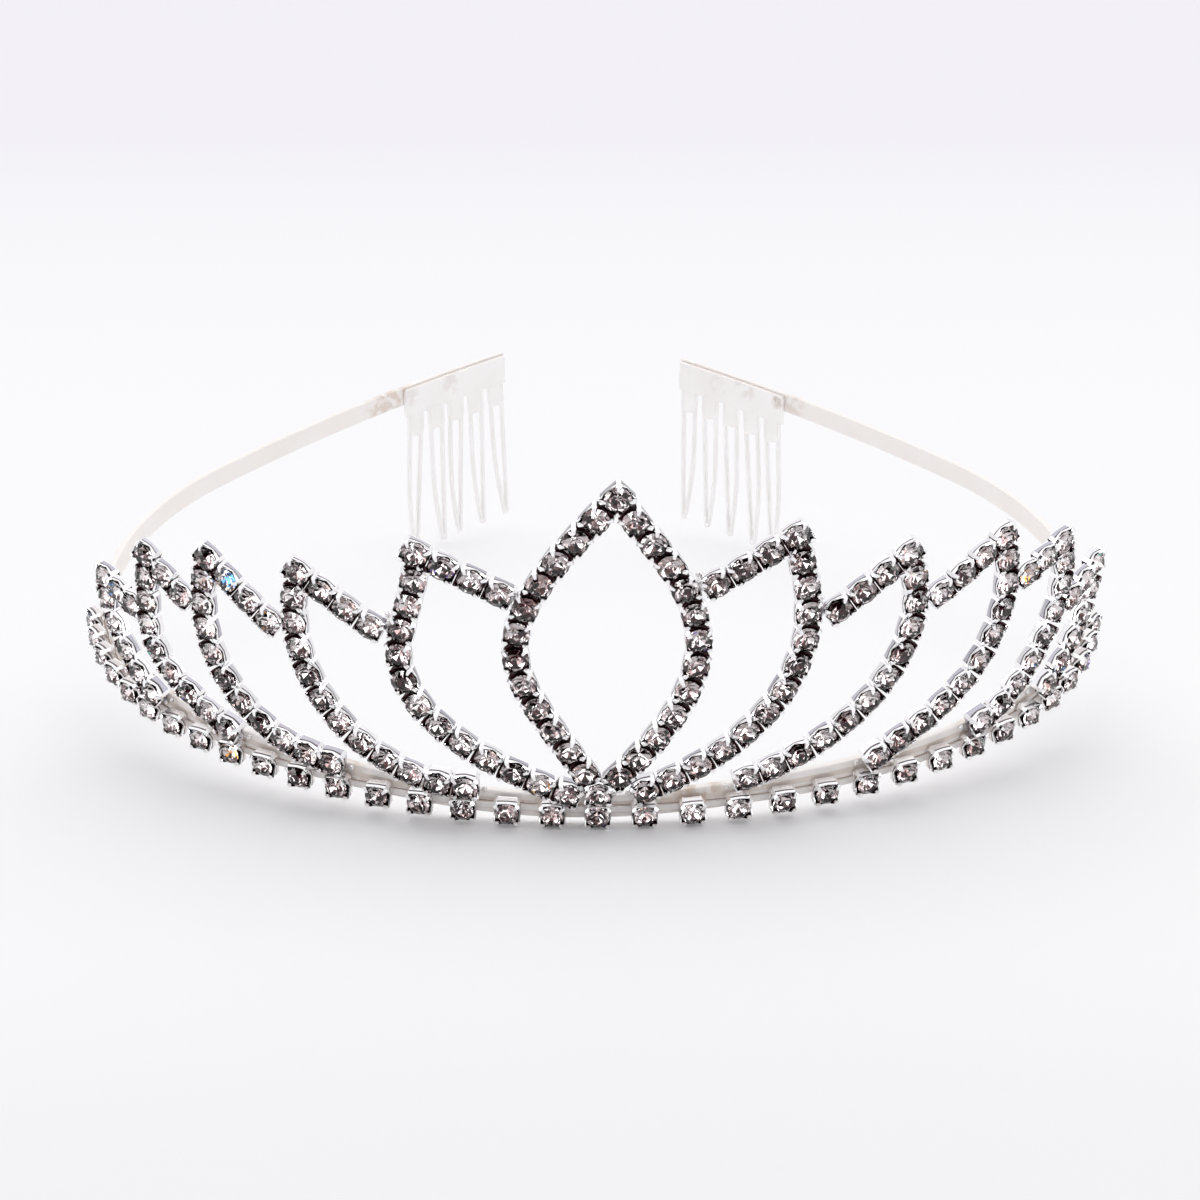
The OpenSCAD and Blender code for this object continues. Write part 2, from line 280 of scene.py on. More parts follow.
def maths(tree, operation, *values):
    return flow(tree, "ShaderNodeMath", dict(enumerate(values)), operation=operation)


def blended(tree, factor, a, b):
    return flow(tree, "ShaderNodeMix", {"Factor": factor, "A": a, "B": b}, data_type="RGBA")


def faded(tree, value, start, end, most=1.0, kind="SMOOTHSTEP"):
    """0 where the value is at start, and this most where it is at end."""
    return flow(tree, "ShaderNodeMapRange", {"Value": value, "From Min": start, "From Max": end,
                                             "To Max": most}, interpolation_type=kind)


def stepped(tree, value, stops):
    """Even tones without a blend between them; stops are (value at which a tone starts, tone)."""
    ramp = put(tree, "ShaderNodeValToRGB", {"Fac": value})
    ramp.color_ramp.interpolation = "CONSTANT"
    line = ramp.color_ramp.elements
    for k, (at, tone) in enumerate(stops):
        stop = line[k] if k < 2 else line.new(at)
        stop.position = at
        stop.color = (*tone, 1)
    return ramp.outputs["Color"]


def split(tree, vector):
    return put(tree, "ShaderNodeSeparateXYZ", {"Vector": vector}).outputs


def face_mark(tree, name):
    """A number that every face carries."""
    return put(tree, "ShaderNodeAttribute", attribute_name=name).outputs["Fac"]


def object_place(tree):
    return put(tree, "ShaderNodeTexCoord").outputs["Object"]


def new_group(name, kind, ins, outs):
    """A node group with these inputs and outputs, and the sockets that bring its inputs."""
    tree = bpy.data.node_groups.new(name, kind)
    for title, socket_kind, value in ins:
        socket = tree.interface.new_socket(name=title, in_out="INPUT", socket_type=socket_kind)
        if value is not None:
            socket.default_value = value
    for title, socket_kind in outs:
        tree.interface.new_socket(name=title, in_out="OUTPUT", socket_type=socket_kind)
    return tree, put(tree, "NodeGroupInput").outputs


# Plating: scales of its clouds and worn patches, the noise between which each of them comes in, the
# batch numbers between which a panel's painted grey shade comes in, and the roughness that grain
# adds and that painted shade and stains add
CLOUD_SCALE = 160
CLOUD_SPREAD = (0.3, 0.7)
PATCH_SCALE = 700
PATCH_SPREAD = (0.4, 0.56)
BATCH_SPREAD = (0.15, 0.75)
GRAIN_ROUGHNESS = 0.16
SHADE_AND_STAIN_ROUGHNESS = 0.35
METAL_SPECULAR = 0.2
BUMP_STRENGTH = 0.5
# Share of a stain's radius that keeps its full depth
STAIN_CORE = 0.4


def build_plating():
    """Plated metal: cloudy tone, fine grain, a painted grey shade on panels, and a dark tone
    painted as shade into hollows, creases and gaps, which the real stains share.
    """
    tree, given = new_group("plating", "ShaderNodeTree", [
        ("Metal", COLOR, (0.9, 0.9, 0.9, 1)), ("Clouded", COLOR, (0.8, 0.8, 0.8, 1)),
        ("Shade And Stain", COLOR, (0.1, 0.08, 0.08, 1)), ("Panel Shade", COLOR, (0.5, 0.5, 0.53, 1)),
        ("Grain", FLOAT, 900.0), ("Polish", FLOAT, 0.15), ("Stain", FLOAT, 0.0)],
        [("Color", COLOR), ("Roughness", FLOAT), ("Height", FLOAT)])
    place = object_place(tree)

    def noise(scale, detail):
        return flow(tree, "ShaderNodeTexNoise", {"Vector": place, "Scale": scale, "Detail": detail})

    def spread(value, ends):
        return faded(tree, value, *ends, kind="LINEAR")

    grain = noise(given["Grain"], 6)
    clouds = spread(noise(CLOUD_SCALE, 4), CLOUD_SPREAD)
    tone = blended(tree, clouds, given["Metal"], given["Clouded"])
    # Painted shade: the panels turn toward a grey tone, by each copy's random batch number
    panel_shaded = blended(tree, spread(face_mark(tree, "batch"), BATCH_SPREAD), tone, given["Panel Shade"])
    stained = maths(tree, "MULTIPLY", spread(noise(PATCH_SCALE, 5), PATCH_SPREAD), given["Stain"])
    # Painted shade where the faces carry it, together with the real stains, turns the tone dark
    shade_and_stain = maths(tree, "MAXIMUM", face_mark(tree, "recess"), stained)
    rough = maths(tree, "MULTIPLY_ADD", grain, GRAIN_ROUGHNESS, given["Polish"])
    rougher = maths(tree, "MULTIPLY_ADD", shade_and_stain, SHADE_AND_STAIN_ROUGHNESS, rough)
    put(tree, "NodeGroupOutput", {"Color": blended(tree, shade_and_stain, panel_shaded, given["Shade And Stain"]),
                                  "Roughness": rougher, "Height": grain})
    return tree


PLATING = build_plating()


def new_material(name, shown):
    """A material with its tree and shader; shown is its tone where nodes aren't."""
    mat = bpy.data.materials.new(name)
    mat.use_nodes = True
    mat.diffuse_color = (*shown, 1)
    return mat, mat.node_tree, mat.node_tree.nodes["Principled BSDF"]


def stain_mask(tree, spots):
    """How stained each point is; spots are (middle, radius, depth) and fade out at the radius."""
    place = object_place(tree)
    total = None
    for middle, radius, depth in spots:
        away = flow(tree, "ShaderNodeVectorMath", {0: place, 1: middle * MM}, operation="DISTANCE")
        spot = faded(tree, away, radius * MM, radius * STAIN_CORE * MM, depth)
        total = maths(tree, "MAXIMUM", total, spot) if total else spot
    return total


def metal(name, tones, grain, polish, bump_m, panel_shade=None, spots=(), shine=1.0):
    """Plated metal. tones are its bright and clouded ones and the dark one of its painted shade and
    stains, grain is the scale of its noise and bump_m its depth in metres, polish its least
    roughness, shine how metallic it is."""
    tone, clouded, recess = tones
    mat, tree, shader = new_material(name, tone)
    coat = put(tree, "ShaderNodeGroup", node_tree=PLATING)
    fill(coat, {"Metal": tone, "Clouded": clouded, "Shade And Stain": recess, "Panel Shade": panel_shade or tone,
                "Grain": grain, "Polish": polish})
    if spots:
        fill(coat, {"Stain": stain_mask(tree, spots)})
    bump = flow(tree, "ShaderNodeBump", {"Distance": bump_m, "Strength": BUMP_STRENGTH,
                                         "Height": coat.outputs["Height"]})
    fill(shader, {"Metallic": shine, "Specular IOR Level": METAL_SPECULAR, "Normal": bump,
                  "Base Color": coat.outputs["Color"], "Roughness": coat.outputs["Roughness"]})
    return mat


CRYSTAL_IOR = 1.56
CRYSTAL_SPECULAR = 0.16
# The clear tone varies a little over noise of this scale
CRYSTAL_SCALE = 300
CRYSTAL_TONES = [(0.99, 0.95, 0.95), (0.955, 0.90, 0.895)]


def crystal(name):
    """Clear cut crystal of the crown; the foil behind it gives its sparkle."""
    mat, tree, shader = new_material(name, (0.8, 0.78, 0.78))
    smear = flow(tree, "ShaderNodeTexNoise", {"Vector": object_place(tree), "Scale": CRYSTAL_SCALE})
    fill(shader, {"Transmission Weight": 1.0, "Metallic": 0.0, "IOR": CRYSTAL_IOR, "Roughness": 0.0,
                  "Specular IOR Level": CRYSTAL_SPECULAR,
                  "Base Color": blended(tree, smear, *CRYSTAL_TONES)})
    return mat


# Facets draw a number up to PLAIN_TOP for their foil's painted tone; above it each painted flash
# colour has its own step
PLAIN_TOP = 0.8
FLASH_STEP = 0.05
# Painted reflections: dark, grey-brown and bright foil tones by each facet's number
PAINTED_FOIL_TONES = [(0.0, (0.90, 0.88, 0.89)), (0.264, (0.36, 0.26, 0.26)), (0.304, (0.96, 0.95, 0.95)),
              (0.536, (0.62, 0.53, 0.51)), (0.600, (0.012, 0.002, 0.003))]
# Painted coloured flashes, which stand in for the crystal's fire
FLASH_TONES = {"blue": (0.16, 0.48, 0.98), "amber": (0.98, 0.50, 0.14),
               "violet": (0.40, 0.30, 0.92), "teal": (0.20, 0.80, 0.66)}
SHOWN = {name: PLAIN_TOP + FLASH_STEP * (k + 0.5) for k, name in enumerate(FLASH_TONES)}
# Near-black tone of the foil's painted shade
FOIL_SHADE_TONE = (0.02, 0.006, 0.009)
FOIL_ROUGHNESS = 0.02
# Share of a stone's facets that flash: in the stones named in FLASHES, and in a few others
STRONG_FLASH = 0.07
FAINT_FLASH = 0.03
FAINT_CHANCE = 0.07
# How much darker the foil is painted, as shade, where the stone looks to the front, and the
# cosines between which that fades in
FRONT_SHADE = 0.21
FRONT_FADE = (0.7, 0.97)
# The same for the stones that look farthest to the sides
FAR_SHADE = 0.2
FAR_FADE = (0.77, 0.57)
# Stones at the sides draw up to this share of PLAIN_TOP only, which leaves out most of the
# darkest painted foil tones
SIDE_DRAW = 0.77


def foil(name):
    """Mirror foil on the back facets with painted reflections: dark, grey-brown or bright tones by
    facet, a painted coloured flash in a few of them, and painted shade toward a near-black tone.
    """
    mat, tree, shader = new_material(name, (0.6, 0.55, 0.52))
    flashes = [(PLAIN_TOP + FLASH_STEP * k, tone) for k, tone in enumerate(FLASH_TONES.values())]
    tone = stepped(tree, face_mark(tree, "lot"), PAINTED_FOIL_TONES + flashes)
    fill(shader, {"Metallic": 1.0, "Roughness": FOIL_ROUGHNESS,
                  "Base Color": blended(tree, face_mark(tree, "recess"), tone, FOIL_SHADE_TONE)})
    return mat


def spots_on_strip(rows):
    """Stains as (s, out, h, radius, depth) with their middles as points."""
    return [(on_strip(s, out, h).translation, radius, depth) for s, out, h, radius, depth in rows]


# Soldered and burnt places on the strip: at the combs' roots, then at the petals' feet
LEFT_ROOT = -LEFT_LEN + COMB_LEN
RIGHT_ROOT = RIGHT_LEN - COMB_LEN
STRIP_SPOTS = spots_on_strip([
    (LEFT_ROOT + 3.5, -0.4, 1.0, 6.5, 0.4), (RIGHT_ROOT - 2.0, -0.4, 1.6, 3.2, 0.3),
    (-31.0, 0.45, 1.2, 4.0, 0.35), (10.0, 0.45, 0.8, 4.0, 0.6), (47.0, 0.45, 1.2, 4.0, 0.35),
    (-59.0, 0.45, 1.2, 4.0, 0.35), (-6.0, 0.45, 0.8, 4.0, 0.5), (-17.0, 0.45, 0.8, 2.5, 0.35)])
# The same on the combs' plates
COMB_SPOTS = spots_on_strip([
    (-LEFT_LEN + 13.0, -1.0, 1.2, 3.4, 0.24), (LEFT_ROOT - 1.0, -1.0, 1.0, 2.4, 0.2),
    (RIGHT_ROOT + 0.9, -1.0, 1.0, 1.5, 0.8), (RIGHT_LEN - 15.0, -1.0, 1.5, 3.0, 0.26),
    (RIGHT_LEN - 9.0, -1.0, 0.4, 2.4, 0.2)])

# Finishes, each with the tones of its plating: bright, clouded, and the dark tone of its painted
# shade and stains
SILVER = [(0.97, 0.96, 0.965), (0.90, 0.885, 0.90), (0.035, 0.012, 0.014)]
WARM_SILVER = [(0.96, 0.94, 0.93), (0.86, 0.83, 0.82), (0.035, 0.012, 0.014)]
NICKEL = [(1.0, 0.97, 0.95), (0.985, 0.94, 0.905), (0.56, 0.38, 0.26)]
PALE_NICKEL = [(0.99, 0.975, 0.97), (0.95, 0.925, 0.915), (0.56, 0.47, 0.41)]
ROW_NICKEL = [(0.99, 0.965, 0.945), (0.93, 0.895, 0.87), (0.34, 0.22, 0.17)]
TIN = [(0.97, 0.96, 0.955), (0.84, 0.80, 0.77), (0.25, 0.16, 0.12)]
# Depth of their grain in metres: cups, plates and the rough drops of solder
CUP_GRAIN = 0.000012
PLATE_GRAIN = 0.000003
TIN_GRAIN = 0.00004

silver = metal("bright_silver_plate", SILVER, 1500, 0.08, CUP_GRAIN)
# The cups' wall panels: silver with a painted grey shade, and a beige one on the base row
panel_shaded_silver = metal("panel_shaded_silver_plate", SILVER, 1500, 0.08, CUP_GRAIN,
                    panel_shade=(0.50, 0.485, 0.545))
panel_shaded_row_silver = metal("panel_shaded_warm_silver_plate", WARM_SILVER, 1500, 0.1, CUP_GRAIN,
                   panel_shade=(0.72, 0.665, 0.65), shine=0.65)
strip_plate = metal("warm_nickel_plate", NICKEL, 2200, 0.40, PLATE_GRAIN, spots=STRIP_SPOTS,
                    shine=0.0)
comb_plate = metal("pale_comb_plate", PALE_NICKEL, 1800, 0.24, PLATE_GRAIN, spots=COMB_SPOTS,
                   shine=0.6)
row_plate = metal("pale_row_plate", ROW_NICKEL, 2000, 0.24, PLATE_GRAIN, shine=0.35)
solder = metal("solder", TIN, 900, 0.2, TIN_GRAIN, shine=0.6)
clear_crystal = crystal("clear_crystal")
back_foil = foil("back_foil")


# Mesh helpers

def new_object(name, data):
    piece = bpy.data.objects.new(name, data)
    bpy.context.collection.objects.link(piece)
    return piece


class Shell:
    """Gathers points and faces of one piece, in millimetres. A face's painted shade number says how
    much darker its tone is painted, as shade, and its slot which of the piece's materials it has."""

    def __init__(self):
        self.points = []
        self.faces = []
        self.recess = []
        self.slots = []

    def ring(self, points):
        start = len(self.points)
        self.points += [Vector(p) for p in points]
        return list(range(start, start + len(points)))

    def face(self, corners, recess=0.0, slot=0):
        self.faces.append(list(corners))
        self.recess.append(recess)
        self.slots.append(slot)

    def band(self, a, b, recess=0.0):
        """Quads between two rings; the outside is on the right hand from a to b."""
        n = len(a)
        for k in range(n):
            value = recess[k] if isinstance(recess, list) else recess
            self.face((a[k], a[(k + 1) % n], b[(k + 1) % n], b[k]), value)

    def tube(self, rings, recess=0.0):
        """Capped walls through rings that run anticlockwise, seen from the last one's end."""
        self.face(rings[0][::-1], recess)
        for a, b in zip(rings, rings[1:]):
            self.band(a, b, recess)
        self.face(rings[-1], recess)

    def bar(self, rings, shades):
        """The same through rings that run clockwise, with shades for each length of the bar."""
        self.face(rings[0])
        for a, b, shade in zip(rings, rings[1:], shades):
            self.band(b, a, shade)
        self.face(rings[-1][::-1])

    def piece(self, name, *materials):
        mesh = bpy.data.meshes.new(name)
        mesh.from_pydata([tuple(p * MM) for p in self.points], [], self.faces)
        for mat in materials:
            mesh.materials.append(mat)
        mesh.polygons.foreach_set("material_index", self.slots)
        mesh.attributes.new("recess", "FLOAT", "FACE").data.foreach_set("value", self.recess)
        mesh.update()
        return new_object(name, mesh)


# One claw-set cup, x along the chain, y across it and z out to the front

# Thickness of the side walls and the end walls at the rim, and how much more the corners are cut
# inside
WALL = 0.11
END_WALL = 0.16
INNER_CUT = 0.12
# How far the end walls dip at their middle, and the -y wall more than the opposite one; points
# along each wall
END_DIP = 0.72
LOWER_DIP = 0.26
WALL_MARKS = 5
# Rings of the back and the bowl: distance inside the walls' foot, how much more their corners are
# cut, and height above the back
DENT = (0.6, -0.1, 0.07)
HEEL = (0.12, 0.0, 0.0)
FOOT = (0.0, 0.0, 0.12)
BOWL = (0.25, 0.15, 0.12)
# Painted shade along the back's edge, and on the rim of the walls at +x, +y, -x and -y: a petal's
# cups and the base row's
HEEL_SHADE = 0.5
PETAL_RIM = [0.05, 0.0, 0.05, 0.12]
BASE_RIM = [0.35, 0.0, 0.35, 0.1]


def cup_rim(half, chamfer, end=0.0, side_dip=0.0):
    """Outline of a square with cut corners, with points along each wall, and each point's dip.
    end draws the two end walls in."""
    flat = half - chamfer
    marks = [2 * k / (WALL_MARKS - 1) - 1 for k in range(WALL_MARKS)]
    outline, dips = [], []
    for quarter in range(4):
        dip = (END_DIP, side_dip, END_DIP, side_dip + LOWER_DIP)[quarter]
        for t in marks:
            x, y = half, t * flat
            for _ in range(quarter):
                x, y = -y, x
            outline.append((x * (half - end) / half, y))
            dips.append(dip * cos(t * pi / 2) ** 1.5 if abs(t) < 1 else 0.0)
    return outline, dips


# Levels of a wall as shares from its foot to its rim, with the depth pressed in there: a flat panel
# with a groove above it. Then the painted shade of each strip between two levels, in the groove,
# and which is the panel
WALL_LEVELS = [(0.12, 0.0), (0.60, 0.0), (0.69, 0.07), (0.78, 0.0)]
WALL_SHADE = [0.0, 0.0, 0.85, 0.85, 0.0]
PANEL = 1


def pressed_wall(shell, foot, rim):
    """Outer walls of a cup: panels with a painted grey shade inside a bright border, and painted
    shade in a groove below the rim.
    """
    levels = [foot]
    for share, depth in WALL_LEVELS:
        points = [shell.points[a].lerp(shell.points[b], share) for a, b in zip(foot, rim)]
        levels.append(shell.ring([p - Vector((p.x, p.y, 0)).normalized() * depth for p in points]))
    levels.append(rim)
    count = len(foot)
    for i, (a, b) in enumerate(zip(levels, levels[1:])):
        for k in range(count):
            flat = k % WALL_MARKS < WALL_MARKS - 1
            shell.face((a[k], a[(k + 1) % count], b[(k + 1) % count], b[k]),
                       WALL_SHADE[i] if flat else 0.0, 1 if flat and i == PANEL else 0)


def cup_shape(back_half, side_dip, back, rim_shade):
    """Stamped cup whose walls narrow to this half width at the back's level; its side walls dip."""
    shell = Shell()

    def back_ring(inset, cut, rise):
        outline, _ = cup_rim(back_half - inset, CHAMFER + cut)
        return shell.ring([(x, y, back + rise) for x, y in outline])

    def rim_ring(half, chamfer, end):
        outline, dips = cup_rim(half, chamfer, end, side_dip)
        return shell.ring([(x, y, CUP_H - d) for (x, y), d in zip(outline, dips)])

    dent, heel, foot = (back_ring(*part) for part in (DENT, HEEL, FOOT))
    outer = rim_ring(CUP_W / 2, CHAMFER, 0.0)
    inner = rim_ring(CUP_W / 2 - WALL, CHAMFER + INNER_CUT, END_WALL - WALL)
    bowl = back_ring(*BOWL)
    shell.face(dent[::-1])
    shell.band(dent, heel)
    shell.band(heel, foot, HEEL_SHADE)
    pressed_wall(shell, foot, outer)
    # Painted shade on the rim as given for each wall, and full painted shade inside the cup
    shell.band(outer, inner, [shade if k < WALL_MARKS - 1 else 0.0
                              for shade in rim_shade for k in range(WALL_MARKS)])
    shell.band(inner, bowl, 1.0)
    shell.face(bowl, 1.0)
    for quarter in range(4):
        claw(shell, radians(45 + 90 * quarter))
    return shell


# A claw's outer and inner edge as (distance from the middle, height), and its half width
CLAW_OUTER = [(1.88, 1.1), (1.88, 2.0), (1.70, 2.28), (1.21, 2.42)]
CLAW_INNER = [(1.68, 1.1), (1.68, 1.92), (1.56, 2.08), (1.20, 2.22)]
CLAW_HALF = [0.2, 0.23, 0.23, 0.12]


def claw(shell, turn):
    """A corner tongue that stands up from the wall and is pressed down over the stone's edge."""
    along = Vector((cos(turn), sin(turn), 0))
    across = Vector((-sin(turn), cos(turn), 0))
    up = Vector((0, 0, 1))
    rings = []
    for (ro, zo), (ri, zi), half in zip(CLAW_OUTER, CLAW_INNER, CLAW_HALF):
        corners = [(ro, -half, zo), (ro, half, zo), (ri, half, zi), (ri, -half, zi)]
        rings.append(shell.ring([along * r + across * w + up * z for r, w, z in corners]))
    shell.tube(rings)


# One round brilliant-cut stone; z is 0 at its widest level

STONE_R = 1.46
# The flat top's share of the radius, heights of the top and of the point, half the edge's thickness
TABLE_R = 0.56
CROWN = 0.52
PAVILION = 1.14
EDGE = 0.04
# Ring between the back's upper and lower facets: radius share and depth share. Then the painted
# shade of the upper ones, which darkens the foil round the stone's edge
MID_R = 0.52
MID_Z = 0.53
UPPER_SHADE = 0.24


def stone_shape():
    """Table, eight points and sixteen edge facets of the crown in crystal, and the foiled back."""
    shell = Shell()
    step = pi / 4
    half = step / 2

    def polar(r, turn, z):
        return (r * cos(turn), r * sin(turn), z)

    table = shell.ring([polar(TABLE_R * STONE_R, k * step, CROWN) for k in range(8)])
    top = shell.ring([polar(STONE_R, k * half, EDGE) for k in range(16)])
    low = shell.ring([polar(STONE_R, k * half, -EDGE) for k in range(16)])
    mid = shell.ring([polar(MID_R * STONE_R, k * step + half, -PAVILION * MID_Z) for k in range(8)])
    point = shell.ring([(0, 0, -PAVILION)])[0]
    shell.face(table)
    for k in range(8):
        n = (k + 1) % 8
        shell.face((table[k], top[2 * k + 1], table[n]))
        shell.face((table[k], top[2 * k - 1], top[2 * k]))
        shell.face((table[k], top[2 * k], top[2 * k + 1]))
        shell.face((point, mid[k], mid[k - 1]), slot=1)
        shell.face((mid[k], low[2 * k], mid[k - 1]), slot=1)
        shell.face((mid[k], low[2 * k + 1], low[2 * k]), UPPER_SHADE, 1)
        shell.face((mid[k], low[(2 * k + 2) % 16], low[2 * k + 1]), UPPER_SHADE, 1)
    shell.band(low, top)
    return shell


# Geometry Nodes: one tree that sets copies of a shape on stations, and one that draws wire

def carried(tree, name, kind="FLOAT_VECTOR"):
    """The values of this name that the stations or the shape's faces carry."""
    return flow(tree, "GeometryNodeInputNamedAttribute", {"Name": name}, data_type=kind)


def stored(tree, mesh, name, value, domain="FACE"):
    return flow(tree, "GeometryNodeStoreNamedAttribute",
                {"Geometry": mesh, "Name": name, "Value": value}, data_type="FLOAT", domain=domain)


def build_setting_tree():
    """Sets a copy of a shape on every station, turned as the station says, a little unevenly."""
    tree, given = new_group("set_on_stations", "GeometryNodeTree", [
        ("Stations", MESH, None), ("Shape", "NodeSocketObject", None), ("Metal", FINISH, None),
        ("Backing", FINISH, None), ("Unevenness", FLOAT, 0.0), ("Spin", FLOAT, 0.0),
        ("Seed", WHOLE, 1)], [("Chain", MESH)])
    seed, uneven = given["Seed"], given["Unevenness"]

    def rotation(euler):
        return flow(tree, "FunctionNodeEulerToRotation", {"Euler": euler})

    def drawn(**values):
        return flow(tree, "FunctionNodeRandomValue", {**values, "Seed": seed}, data_type="FLOAT")

    limit = flow(tree, "ShaderNodeCombineXYZ", {"X": uneven, "Y": uneven,
                                                "Z": maths(tree, "ADD", uneven, given["Spin"])})
    least = flow(tree, "ShaderNodeVectorMath", {"Vector": limit, "Scale": -1.0}, operation="SCALE")
    wobble = flow(tree, "FunctionNodeRandomValue", {"Min": least, "Max": limit, "Seed": seed},
                  data_type="FLOAT_VECTOR")
    facing = rotation(carried(tree, "facing"))
    turn = flow(tree, "FunctionNodeRotateRotation",
                {"Rotation": facing, "Rotate By": rotation(wobble)}, rotation_space="LOCAL")
    shape = put(tree, "GeometryNodeObjectInfo", {"Object": given["Shape"]},
                transform_space="ORIGINAL").outputs["Geometry"]
    copies = flow(tree, "GeometryNodeInstanceOnPoints", {
        "Points": given["Stations"], "Instance": shape, "Rotation": turn,
        "Scale": carried(tree, "size")})
    batched = stored(tree, copies, "batch", drawn(), "INSTANCE")
    mesh = flow(tree, "GeometryNodeRealizeInstances", {"Geometry": batched})
    # Painted shade on an end wall next to another cup, in the gap between them: near holds that for
    # the -x and +x ends
    end, near = carried(tree, "end", "FLOAT"), split(tree, carried(tree, "near"))
    painted_gap_shade = maths(tree, "MULTIPLY", maths(tree, "LESS_THAN", end, -0.5), near["X"])
    painted_gap_shade = maths(tree, "MULTIPLY_ADD", maths(tree, "GREATER_THAN", end, 0.5), near["Y"], painted_gap_shade)
    # Stations with a painted flash, its draw in x, show it in the facets below the share in y; z
    # paints shade on the copy
    flash = split(tree, carried(tree, "flash"))
    recess = maths(tree, "ADD", carried(tree, "recess", "FLOAT"), painted_gap_shade)
    mesh = stored(tree, mesh, "recess", maths(tree, "ADD", recess, flash["Z"]))
    draw = drawn(Max=PLAIN_TOP)
    part = maths(tree, "MULTIPLY_ADD", flash["Z"], (1 - SIDE_DRAW) / FRONT_SHADE, SIDE_DRAW)
    less = maths(tree, "MULTIPLY", draw, part)
    few = maths(tree, "LESS_THAN", draw, flash["Y"])
    lot = maths(tree, "MULTIPLY_ADD", few, maths(tree, "SUBTRACT", flash["X"], less), less)
    mesh = stored(tree, mesh, "lot", lot)
    mesh = flow(tree, "GeometryNodeSetMaterial", {"Geometry": mesh, "Material": given["Metal"]})
    mesh = flow(tree, "GeometryNodeSetMaterial", {
        "Geometry": mesh, "Material": given["Backing"],
        "Selection": carried(tree, "backed", "BOOLEAN")})
    put(tree, "NodeGroupOutput", {"Chain": mesh})
    return tree


def build_wire_tree():
    """Draws round wire along the edges of a mesh."""
    tree, given = new_group("wire", "GeometryNodeTree", [
        ("Path", MESH, None), ("Radius", FLOAT, 0.0004), ("Sides", WHOLE, 10),
        ("Metal", FINISH, None)], [("Wire", MESH)])
    path = flow(tree, "GeometryNodeMeshToCurve", {"Mesh": given["Path"]})
    round_bar = flow(tree, "GeometryNodeCurvePrimitiveCircle", {"Resolution": given["Sides"],
                                                                "Radius": given["Radius"]})
    mesh = flow(tree, "GeometryNodeCurveToMesh", {"Curve": path, "Profile Curve": round_bar,
                                                  "Fill Caps": True})
    mesh = flow(tree, "GeometryNodeSetShadeSmooth", {"Geometry": mesh})
    mesh = flow(tree, "GeometryNodeRealizeInstances", {"Geometry": mesh})
    mesh = flow(tree, "GeometryNodeSetMaterial", {"Geometry": mesh, "Material": given["Metal"]})
    put(tree, "NodeGroupOutput", {"Wire": mesh})
    return tree


SETTING = build_setting_tree()
WIRE = build_wire_tree()


def made_plain(source, name, tree, values):
    """Runs a tree on an object and keeps the result as a plain mesh object."""
    step = source.modifiers.new("shape", "NODES")
    step.node_group = tree
    ids = {s.name: s.identifier for s in tree.interface.items_tree if s.in_out == "INPUT"}
    for key, value in values.items():
        step[ids[key]] = value
    graph = bpy.context.evaluated_depsgraph_get()
    mesh = bpy.data.meshes.new_from_object(source.evaluated_get(graph))
    mesh.name = name
    piece = new_object(name, mesh)
    bpy.data.objects.remove(source)
    return piece


def station_mesh(name, frames, sizes=None, near=None, flashes=None):
    """Points at these frames, in millimetres, with facing, size, near neighbours and flash."""
    mesh = bpy.data.meshes.new(name)
    mesh.from_pydata([tuple(f.translation * MM) for f in frames], [], [])
    count = len(frames)
    rows = {"facing": [f.to_euler() for f in frames], "size": sizes or [(1, 1, 1)] * count,
            "near": [(*ends, 0) for ends in near or [(0, 0)] * count],
            "flash": flashes or [(0, 0, 0)] * count}
    for title, values in rows.items():
        layer = mesh.attributes.new(title, "FLOAT_VECTOR", "POINT")
        layer.data.foreach_set("vector", [a for row in values for a in row])
    return new_object(name, mesh)


def set_along(name, frames, shape, finish, seed, backing=None, uneven=0.0, spin=0.0, **rows):
    """Copies of a shape at these frames as one object; rows are station_mesh's own."""
    return made_plain(station_mesh(name + "_stations", frames, **rows), name, SETTING, {
        "Shape": shape, "Metal": finish, "Backing": backing or finish,
        "Unevenness": radians(uneven), "Spin": radians(spin), "Seed": seed})


def joined(name, parts):
    """One object out of several, with the first one's place."""
    with bpy.context.temp_override(active_object=parts[0], object=parts[0],
                                   selected_objects=parts, selected_editable_objects=parts):
        bpy.ops.object.join()
    parts[0].name = name
    parts[0].data.name = name
    return parts[0]


def ride(piece, node):
    """Gives a finished piece its body, and hides the CAD node that it stands for."""
    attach(piece, "root")
    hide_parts(node)


def mark_backed(piece):
    """Notes which faces have the second finish, for the tree that sets the copies."""
    backed = piece.data.attributes.new("backed", "BOOLEAN", "FACE")
    backed.data.foreach_set("value", [p.material_index == 1 for p in piece.data.polygons])


# Faces nearer the middle of a wall than this belong to the wall, not to its corners
CORNER_Y = 0.95


def marked_cup(name, back_half, side_dip, back, rim_shade):
    """Cup shape whose end walls and their rims carry their side, -1 or 1."""
    piece = cup_shape(back_half, side_dip, back, rim_shade).piece(name, silver, panel_shaded_silver)
    mark_backed(piece)

    def side_of(face):
        x, y, z = face.center
        wall = abs(x) > (CUP_W / 2 - END_WALL) * MM and abs(y) < CORNER_Y * MM and z < CUP_H * MM
        return copysign(1.0, x) if wall and (face.normal.x * x > 0 or face.normal.z > 0) else 0.0

    end = piece.data.attributes.new("end", "FLOAT", "FACE")
    end.data.foreach_set("value", [side_of(f) for f in piece.data.polygons])
    return piece


# A link's lower and upper face above its cups' backs, its painted shade, and how far it reaches
# into each cup
LINK_LOW = 0.62
LINK_HIGH = 0.9
LINK_SHADE = 0.4
LINK_BITE = 0.35


